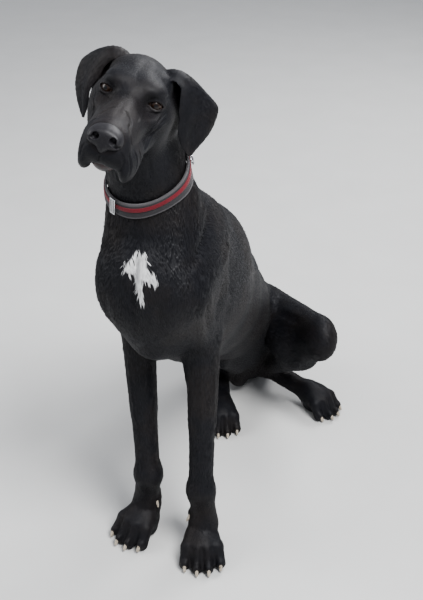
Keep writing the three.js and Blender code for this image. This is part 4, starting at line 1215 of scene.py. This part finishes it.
def tube(bm, centres, radii, ups, closed=False, sides=10):
    """Rings along a line, bridged into a tube, with round ends unless it closes on itself."""
    centres = np.array(centres, float)
    rings = []
    count = len(centres)
    for n, (centre, radius, up) in enumerate(zip(centres, radii, ups)):
        ahead = centres[(n + 1) % count] if closed else centres[min(n + 1, count - 1)]
        behind = centres[n - 1] if closed else centres[max(n - 1, 0)]
        along = unit(ahead - behind)
        across = unit(np.cross(along, up))
        over = np.cross(across, along)
        angles = [2 * math.pi * k / sides for k in range(sides)]
        points = [centre + radius * (math.cos(a) * across + math.sin(a) * over) for a in angles]
        rings.append(new_ring(bm, points))
    bridged(bm, rings, closed)


def eyeballs():
    for side, eye in eyes.items():
        bm = bmesh.new()
        bmesh.ops.create_uvsphere(bm, u_segments=56, v_segments=40, radius=BALL_RADIUS)
        made = new_object(f"eyeball_{side}", bm)
        q = points_of(made.data)
        off_axis = np.degrees(np.arccos(np.clip(q[:, 2] / BALL_RADIUS, -1, 1)))
        q *= 1 + 0.055 * smooth((40 - off_axis) / 26)[:, None]
        flat = np.linalg.norm(q[:, :2], axis=1)
        round_it = q[:, :2] / np.maximum(flat, 1e-6)[:, None]
        add_values(made.data, "gaze", off_axis / 90)
        add_values(made.data, "spoke", np.column_stack([round_it, off_axis / 90]))
        set_points(made.data, to_frame(eye.centre + q @ eye.axes))
        put_in(made, EYE, "eye", f"eye_{side}")


RIM_RADIUS = 0.85
RIM_STEPS = 72


def lid_rims():
    """A thin wet rim round each eye's opening."""
    bm = bmesh.new()
    for eye in eyes.values():
        centres, ups = [], []
        for n in range(RIM_STEPS):
            angle = 2 * math.pi * n / RIM_STEPS
            x = LID_OPENING[0] * math.cos(angle) * 0.995
            top, low = lid_heights(np.array(x))
            y = (top if math.sin(angle) > 0 else low) * 1.02
            out = math.sqrt((BALL_RADIUS + 0.75) ** 2 - x * x - y * y)
            centres.append(eye.centre + at(x, float(y), out) @ eye.axes)
            ups.append(unit(centres[-1] - eye.centre))
        tube(bm, centres, [RIM_RADIUS] * RIM_STEPS, ups, closed=True)
    made = new_object("lid_rims", bm)
    set_points(made.data, to_frame(points_of(made.data)))
    put_in(made, RIM, "nose")


NOSE_PAD = [
    head_lump((114, 0, -32), (29, 22, 16), 15),
    *[head_lump((126, 14 * s, -36), (15, 11.5, 12), 8) for s in SIDES.values()],
    head_lump((240, 0, -30), (100, 100, 100), 6, True),
    head_lump((126, 0, -47), (12, 8, 10), 8),
    head_lump((146, 0, -44), (7, 1.6, 16), 2, True),
]
NOSTRIL = [(150, 11, -33, 5.9), (138, 12.5, -33, 5.2), (131, 13.5, -32, 3.2)]
NOSTRIL_SLIT = [(141, 15, -37, 3.4), (135, 20, -39, 2.7), (131, 27, -39, 1.7)]
NOSTRIL_STEPS = 8
NOSE_VOXEL = 0.9
NOSTRIL_VOXEL = 0.7
LIP_VOXEL = 1.8


def nose():
    made = clay_object("nose", NOSE_PAD, NOSE_VOXEL)
    settled(made.data, NOSE_PAD)
    bm = bmesh.new()
    for s in SIDES.values():
        for stops in (NOSTRIL, NOSTRIL_SLIT):
            path = path_through(stops, NOSTRIL_STEPS)
            centres = [head(f, s * l, u) for f, l, u, _ in path]
            tube(bm, centres, path[:, 3], [head.axes[2]] * len(path), sides=16)
    holes = new_object("holes", bm)
    with_modifier(holes, "REMESH", mode="VOXEL", voxel_size=NOSTRIL_VOXEL)
    with_modifier(made, "BOOLEAN", operation="DIFFERENCE", object=holes, solver="EXACT")
    bpy.data.objects.remove(holes)
    with_modifier(made, "REMESH", mode="VOXEL", voxel_size=NOSE_VOXEL)
    points, edges = points_of(made.data), edges_of(made.data)
    for _ in range(3):
        points = relaxed(points, edges, 0.5)
    set_points(made.data, to_frame(points))
    put_in(made, NOSE, "nose", "nose")


def lower_lip():
    made = clay_object("lower_lip", jaw_front, LIP_VOXEL)
    settled(made.data, jaw_front, depth=0.6, rounds=5)
    set_points(made.data, to_frame(points_of(made.data)))
    put_in(made, LIP, "nose")


def merged_copy(node, keep_flat=None):
    """A CAD node's mesh with its loose triangles joined, and flat faces whole if asked."""
    bm = bmesh.new()
    bm.from_mesh(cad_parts[node].data)
    bmesh.ops.remove_doubles(bm, verts=bm.verts, dist=MERGE_WITHIN)
    if keep_flat:
        bmesh.ops.dissolve_limit(bm, angle_limit=keep_flat, verts=bm.verts, edges=bm.edges)
    return bm


CLAW_RADIUS = 5.2
CLAW_FLATNESS = 0.24
CLAW_STEPS = 14
CLAW_ARCH = [(-2, 19, 0.98), (6, 18, 1), (11.5, 14, 0.94), (14.6, 9.4, 0.84), (16, 5.6, 0.62)]
DEWCLAW_ARCH = [(20, 90, 0.7), (25, 82, 0.72), (30, 73, 0.54), (32, 67, 0.24)]


def claw(bm, stops, up, across):
    """A curved blunt claw, flattened across, along stops of place and radius."""
    path = path_through([np.append(p, r) for p, r in stops], CLAW_STEPS)
    before = len(bm.verts)
    spine = path[:, :3]
    tube(bm, spine, path[:, 3], [up] * len(path), sides=14)
    bm.verts.ensure_lookup_table()
    for vert in bm.verts[before:]:
        p = np.array(vert.co)
        near = spine[np.argmin(np.linalg.norm(spine - p, axis=1))]
        vert.co = Vector(p - CLAW_FLATNESS * ((p - near) @ across) * across)


def claws():
    names = sorted(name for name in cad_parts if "claw" in name)
    bm = bmesh.new()
    for (end, side), place in feet.items():
        size = FOOT_SIZE[end]
        for toe in TOES:
            f, l = 63 - 7 * toe**2, 24.5 * toe * 1.02
            stops = [
                (place((f + a) * size, l * size, u * size), CLAW_RADIUS * r * size)
                for a, u, r in CLAW_ARCH
            ]
            claw(bm, stops, UP, place.axes[1])
        if end == "fore":
            x, y, _ = FORELEG[side]["paw"]
            stops = [
                (at(x - SIDES[side] * i, y + 34 - i, z), CLAW_RADIUS * r) for i, z, r in DEWCLAW_ARCH
            ]
            claw(bm, stops, UP, at(0, 1, 0))
    made = new_object("claws", bm)
    set_points(made.data, to_frame(points_of(made.data)))
    put_in(made, HORN, "claw", *names)


# Collar: hoops that follow the neck's own shape
COLLAR_CENTRE = at(-30, 14, 785)
COLLAR_UP = unit(at(-0.1, -0.44, 0.94))
COLLAR_BACK = unit(at(0, 1, 0) - COLLAR_UP[1] * COLLAR_UP)
COLLAR_LEFT = np.cross(COLLAR_BACK, COLLAR_UP)
COLLAR_PLAY = 1.2
STRIPE_WIDTH = 6.4
STRIPE_RISE = 2.8
HOOP_STEPS = 176
STRAP_MAP_RADIUS = 0.085
NECK_LEAST, NECK_MOST = 30.0, 130.0
HALVINGS = 22
MERGE_WITHIN = 0.00002
SLIDE_ROUNDING = 0.0006
WIRE_GROWTH = 0.00018


def on_collar(out, height):
    """A ring of points round the neck, each as far out as given."""
    angles = 2 * math.pi * np.arange(HOOP_STEPS) / HOOP_STEPS
    flat = np.sin(angles)[:, None] * COLLAR_LEFT - np.cos(angles)[:, None] * COLLAR_BACK
    return COLLAR_CENTRE + out[:, None] * flat + height * COLLAR_UP


def neck_radii(height):
    """How far the neck's surface is from the collar's middle, all the way round."""
    near, far = np.full(HOOP_STEPS, NECK_LEAST), np.full(HOOP_STEPS, NECK_MOST)
    for _ in range(HALVINGS):
        middle = (near + far) / 2
        inside = depth_in(body, on_collar(middle, height)) < 0
        near, far = np.where(inside, middle, near), np.where(inside, far, middle)
    return near


def hoop(name, section, material, slot, node):
    """A strap all the way round, its section given as [out from the neck, up]."""
    low, high = neck_radii(-COLLAR_WIDTH / 2), neck_radii(COLLAR_WIDTH / 2)
    bm = bmesh.new()
    rows = []
    for out, height in section:
        rows.append(on_collar(mix(low, high, height / COLLAR_WIDTH + 0.5) + out, height))
    bridged(bm, [new_ring(bm, ring) for ring in np.array(rows).transpose(1, 0, 2)], closed=True)
    made = new_object(name, bm)
    points = points_of(made.data)
    q = points - COLLAR_CENTRE
    around = np.arctan2(q @ COLLAR_LEFT, -q @ COLLAR_BACK) * STRAP_MAP_RADIUS
    corners = np.empty(len(made.data.loops), np.int32)
    made.data.loops.foreach_get("vertex_index", corners)
    strap = np.column_stack([around, (q @ COLLAR_UP) * MM, np.zeros(len(q))])[corners]
    first = strap[::4, 0].repeat(4)
    turn = 2 * math.pi * STRAP_MAP_RADIUS
    strap[:, 0] += turn * np.round((first - strap[:, 0]) / turn)
    add_values(made.data, "strap", strap, "CORNER")
    set_points(made.data, to_frame(points))
    put_in(made, material, slot, node)


def rounded_section(out, top, bottom, thick, bend):
    """A flat strap's section with round edges, from its inner face out."""
    section = []
    for y, x, quarter in ((bottom, out, 2), (bottom, out + thick, 3), (top, out + thick, 0), (top, out, 1)):
        for n in range(4):
            angle = math.radians(90 * quarter + 30 * n)
            inwards = bend if quarter in (2, 1) else -bend
            upwards = bend if y == bottom else -bend
            section.append((x + inwards + bend * math.cos(angle), y + upwards + bend * math.sin(angle)))
    return section


def collar():
    half = COLLAR_WIDTH / 2
    face = COLLAR_PLAY + COLLAR_THICKNESS
    band = rounded_section(COLLAR_PLAY, half, -half, COLLAR_THICKNESS, 1.2)
    top, bottom = (STRIPE_RISE + end * STRIPE_WIDTH / 2 for end in (1, -1))
    stripe = rounded_section(face + 0.05, top, bottom, 1.1, 0.5)
    hoop("collar_webbing", band, WEBBING, "webbing", "collar_band")
    hoop("collar_red_stripe", stripe, RED_WEBBING, "red_webbing", "collar_stripe")

    bm = merged_copy("collar_slide", math.radians(3))
    bmesh.ops.bevel(
        bm, geom=bm.edges, offset=SLIDE_ROUNDING, offset_type="OFFSET", affect="EDGES", segments=3,
        profile=0.5, material=-1, clamp_overlap=True,
    )
    put_in(new_object("slide", bm), STEEL, "steel", "collar_slide")
    for name, node in (("wire_loop", "collar_loop"), ("hanging_ring", "collar_ring")):
        made = new_object(name, merged_copy(node))
        mesh = with_modifier(made, "SUBSURF", levels=2, render_levels=2)
        set_points(mesh, points_of(mesh) + WIRE_GROWTH * normals_of(mesh))
        put_in(made, STEEL, "steel", node)


# Tufts of hair: thin closed blades that lie along the coat

COAT_PIECES = 7
TUFTS = 119000
BLADE_FACES = np.array([
    (0, 1, 4), (0, 4, 3), (0, 3, 5), (0, 5, 2), (1, 2, 5),
    (1, 5, 4), (3, 6, 5), (4, 5, 6), (3, 4, 6), (0, 2, 1),
])
BLADE_PLACES = np.array([(-1, 0), (1, 0), (0, 0), (-1, 1), (1, 1), (0, 1), (0, 2)])
BLADE_POINTS = len(BLADE_PLACES)
BLADE_TAPER = (1, 0.8, 0)
BLADE_ROOT = 0.35
MAP_PATCH = 0.003
MAP_FACES = 9000
TUFT_SEED = 7
STRAY_SHARE = 0.04
FACE_CROWD, MUZZLE_CROWD = 1.7, 1.6
BODY_HAIR, FACE_HAIR = 11.0, 5.6
BLADE_WIDTH = 0.15  # of its length


def unwrapped(skin_object):
    """A coarse copy of the skin with its own shape laid flat: its points, faces and map."""
    coarse = in_scene("unwrap", skin_object.data.copy())
    with_modifier(coarse, "DECIMATE", ratio=MAP_FACES / len(coarse.data.polygons))
    with_modifier(coarse, "TRIANGULATE")
    bpy.context.view_layer.objects.active = coarse
    coarse.select_set(True)
    bpy.ops.object.mode_set(mode="EDIT")
    bpy.ops.mesh.select_all(action="SELECT")
    bpy.ops.uv.smart_project(angle_limit=math.radians(66), island_margin=0.001)
    bpy.ops.object.mode_set(mode="OBJECT")
    mesh = coarse.data
    flat = np.empty(2 * len(mesh.loops), np.float32)
    mesh.uv_layers.active.data.foreach_get("uv", flat)
    result = points_of(mesh), triangles_of(mesh), flat.reshape(-1, 3, 2)
    bpy.data.objects.remove(coarse)
    return result


def weights_in(corners, points):
    """Each point's share of its triangle's three corners."""
    a, b, c = corners.transpose(1, 0, 2)
    whole = np.cross(b - a, c - a)
    size = np.maximum((whole**2).sum(1), 1e-12)
    wb = (np.cross(points - a, c - a) * whole).sum(1) / size
    wc = (np.cross(b - a, points - a) * whole).sum(1) / size
    shares = np.clip(np.column_stack([1 - wb - wc, wb, wc]), 0, 1)
    return shares / shares.sum(1, keepdims=True)


def nearest_faces(tree, points):
    hits = [tree.find_nearest(Vector(p)) for p in points]
    return np.array([h[0] for h in hits]), np.array([h[1] for h in hits]), np.array([h[2] for h in hits])


def coat_zones(points):
    q = (points - head.origin) @ head.axes.T
    face = near_head(points)
    muzzle = face * smooth((q[:, 0] - 20) / 60)
    return face, muzzle, near_feet(points)


def tufts(skin_object):
    mesh = skin_object.data
    random = np.random.default_rng(TUFT_SEED)
    points, faces, normals = to_plan(points_of(mesh)), triangles_of(mesh), normals_of(mesh)
    corners = points[faces]
    middles = corners.mean(1)
    area = np.linalg.norm(np.cross(corners[:, 1] - corners[:, 0], corners[:, 2] - corners[:, 0]), axis=1) / 2
    face, muzzle, feet_share = coat_zones(middles)
    crowd = 1 + FACE_CROWD * np.maximum(face, feet_share) + MUZZLE_CROWD * muzzle
    q = middles - COLLAR_CENTRE
    height = q @ COLLAR_UP
    away = np.linalg.norm(q - height[:, None] * COLLAR_UP, axis=1)
    under_collar = (np.abs(height) < COLLAR_WIDTH / 2 - 1) & (away < NECK_MOST)
    bald = under_collar | (bare_at(middles) > 0.35) | (middles[:, 2] < 2)
    weight = area * crowd * ~bald
    pick = np.sort(np.searchsorted(np.cumsum(weight) / weight.sum(), random.random(TUFTS)))
    u, v = random.random((2, TUFTS))
    shares = np.column_stack([1 - np.sqrt(u), np.sqrt(u) * (1 - v), np.sqrt(u) * v])
    root = (corners[pick] * shares[:, :, None]).sum(1)
    normal = (normals[faces[pick]] * shares[:, :, None]).sum(1)
    normal /= np.linalg.norm(normal, axis=1, keepdims=True)

    lie, _ = growth_on(root)
    ear_share = smooth((depth_in(body, root) - 1) / 4)[:, None]
    lie = mix(lie, -head.axes[2] - 0.4 * head.axes[0], ear_share)
    lie += random.normal(0, 0.09, root.shape)
    lie -= (lie * normal).sum(1)[:, None] * normal
    lie /= np.maximum(np.linalg.norm(lie, axis=1, keepdims=True), 1e-6)
    side = np.cross(normal, lie)

    face, muzzle, feet_share = coat_zones(root)
    small = np.maximum(face, feet_share)
    marked = mark_at(root)
    white = (marked > 0.22 - 0.5 * random.random(TUFTS) ** 2).astype(float)
    length = mix(BODY_HAIR, FACE_HAIR, small) - 1.8 * muzzle + 2 * smooth(marked + 1)
    length = length * random.uniform(0.75, 1.2, TUFTS)
    stray = random.random(TUFTS) < STRAY_SHARE
    width = BLADE_WIDTH * length
    rise = mix(0.75, 0.42, small) * random.uniform(0.6, 1.3, TUFTS) + stray * mix(1.1, 0.4, small)

    tree = bvhtree.BVHTree.FromPolygons(points.tolist(), faces.tolist())
    rings = [(root - BLADE_ROOT * normal, normal)]
    for share, lift in ((0.5, 0.9), (1.0, 1.0)):
        on_skin, facing, _ = nearest_faces(tree, root + (share * length)[:, None] * lie)
        rings.append((on_skin + (lift * rise)[:, None] * facing, facing))
    blade = np.empty((TUFTS, BLADE_POINTS, 3))
    for n, (across, ring) in enumerate(BLADE_PLACES):
        spot, facing = rings[ring]
        taper = BLADE_TAPER[ring]
        blade[:, n] = spot + (0.5 * across * taper * width)[:, None] * side
        if across == 0 and ring < 2:
            blade[:, n] += (0.3 * taper * width)[:, None] * facing
    own = unit_rows(blade - blade.mean(1, keepdims=True))
    smooth_normals = unit_rows(0.85 * normal[:, None] + 0.3 * own)

    flat_points, flat_faces, flat_map = unwrapped(skin_object)
    flat_tree = bvhtree.BVHTree.FromPolygons(flat_points.tolist(), flat_faces.tolist())
    spots, _, owners = nearest_faces(flat_tree, to_frame(root))
    share = weights_in(flat_points[flat_faces[owners]], spots)
    on_map = (flat_map[owners] * share[:, :, None]).sum(1)

    tone = random.random(TUFTS)
    # Painted highlight: each tuft grows lighter towards its tip, by a random amount per tuft
    tip_highlight = np.array([0, 0, 0, 0.45, 0.45, 0.45, 1])[None] * tone[:, None]
    for n, chosen in enumerate(np.array_split(random.permutation(TUFTS), COAT_PIECES)):
        count = len(chosen)
        made = in_scene(f"coat_{n + 1}", bpy.data.meshes.new(f"coat_{n + 1}"))
        all_faces = (BLADE_FACES[None] + BLADE_POINTS * np.arange(count)[:, None, None]).reshape(-1, 3)
        made.data.from_pydata(to_frame(blade[chosen].reshape(-1, 3)).tolist(), [], all_faces.tolist())
        add_values(made.data, "mark", np.repeat(white[chosen], BLADE_POINTS))
        add_values(made.data, "tip_highlight", tip_highlight[chosen].ravel())
        patch = on_map[chosen][:, None] + MAP_PATCH * (BLADE_PLACES * (0.5, 0.5) - (0, 0.5))[None]
        layer = made.data.uv_layers.new(name="OFBake")
        layer.data.foreach_set("uv", patch.reshape(-1, 2)[all_faces.ravel()].astype(np.float32).ravel())
        put_in(made, TUFT, "coat")
        made.data.normals_split_custom_set_from_vertices(smooth_normals[chosen].reshape(-1, 3).tolist())


def unit_rows(v):
    return v / np.maximum(np.linalg.norm(v, axis=-1, keepdims=True), 1e-9)


COAT, TUFT, NOSE, LIP, RIM = skin_finish(), tuft_finish(), nose_finish(), lip_finish(), rim_finish()
EYE, HORN, STEEL = eye_finish(), claw_finish(), steel_finish()
WEBBING = webbing_finish(
    "grey_webbing", (0.018, 0.017, 0.019), (0.055, 0.052, 0.056), (0.11, 0.105, 0.11), 0.7
)
RED_WEBBING = webbing_finish("red_webbing", (0.085, 0.008, 0.013), (0.23, 0.024, 0.035), (0, 0, 0), 0)

FLESH = ["head", "lower_jaw", "neck", "torso", "tail_root", "tail_middle", "tail_tip"]
for side in SIDES:
    FLESH += [f"{part}_{side}" for part in ("ear", "foreleg", "forepaw", "thigh", "shank", "hindfoot")]


def dressed_skin():
    made = skin()
    mesh = made.data
    points, faces = points_of(mesh), triangles_of(mesh)
    add_values(mesh, "mark", smooth(mark_at(points) * 3))
    add_values(mesh, "bare", bare_at(points))
    _, owner = growth_on(points[faces].mean(1))
    local = points[faces] - added_centres[owner][:, None]
    grain = np.einsum("fcx,fax->fca", local, added_frames[owner]) * MM
    add_values(mesh, "grain", grain.reshape(-1, 3), "CORNER")
    set_points(mesh, to_frame(points))
    put_in(made, COAT, "coat", *FLESH)
    return made


skin_object = dressed_skin()
eyeballs()
lid_rims()
nose()
lower_lip()
claws()
collar()
tufts(skin_object)

# Camera, placed to frame the dog as the photograph does, and soft light over a pale floor
CAMERA_TURN = 20
CAMERA_DOWN = 30
CAMERA_PLACE = at(585, -1382, 1420)
LENS = 60
FILM_WIDTH = 36

camera = in_scene("camera", bpy.data.cameras.new("camera"))
camera.data.lens = LENS
camera.data.sensor_width = FILM_WIDTH
camera.location = to_frame(CAMERA_PLACE)
camera.rotation_euler = (math.radians(90 - CAMERA_DOWN), 0, math.radians(CAMERA_TURN))
bpy.context.scene.camera = camera

FLOOR_REACH = 8
bm = bmesh.new()
bmesh.ops.create_grid(bm, x_segments=1, y_segments=1, size=FLOOR_REACH)
floor = new_object("floor", bm)
floor.data.materials.append(floor_finish())


def lamp(name, place, aim, size, power):
    light = bpy.data.lights.new(name, "AREA")
    light.shape = "DISK"
    light.size = size
    light.energy = power
    made = in_scene(name, light)
    made.location = place
    made.rotation_euler = (Vector(aim) - Vector(place)).to_track_quat("-Z", "Y").to_euler()


lamp("key", (1.5, -1.2, 3.0), (0, -0.2, 0.5), 1.4, 120)
lamp("fill", (-2.2, -1.0, 1.8), (0, -0.2, 0.5), 2.0, 30)
lamp("back", (0.6, 2.4, 2.6), (0, 0, 0.4), 1.6, 60)
SKY = (0.9, 0.93, 1, 1)
SKY_STRENGTH = 0.5
world = bpy.data.worlds.new("world")
world.use_nodes = True
background = world.node_tree.nodes["Background"]
background.inputs["Color"].default_value = SKY
background.inputs["Strength"].default_value = SKY_STRENGTH
bpy.context.scene.world = world
bpy.context.scene.view_settings.look = "AgX - Medium High Contrast"
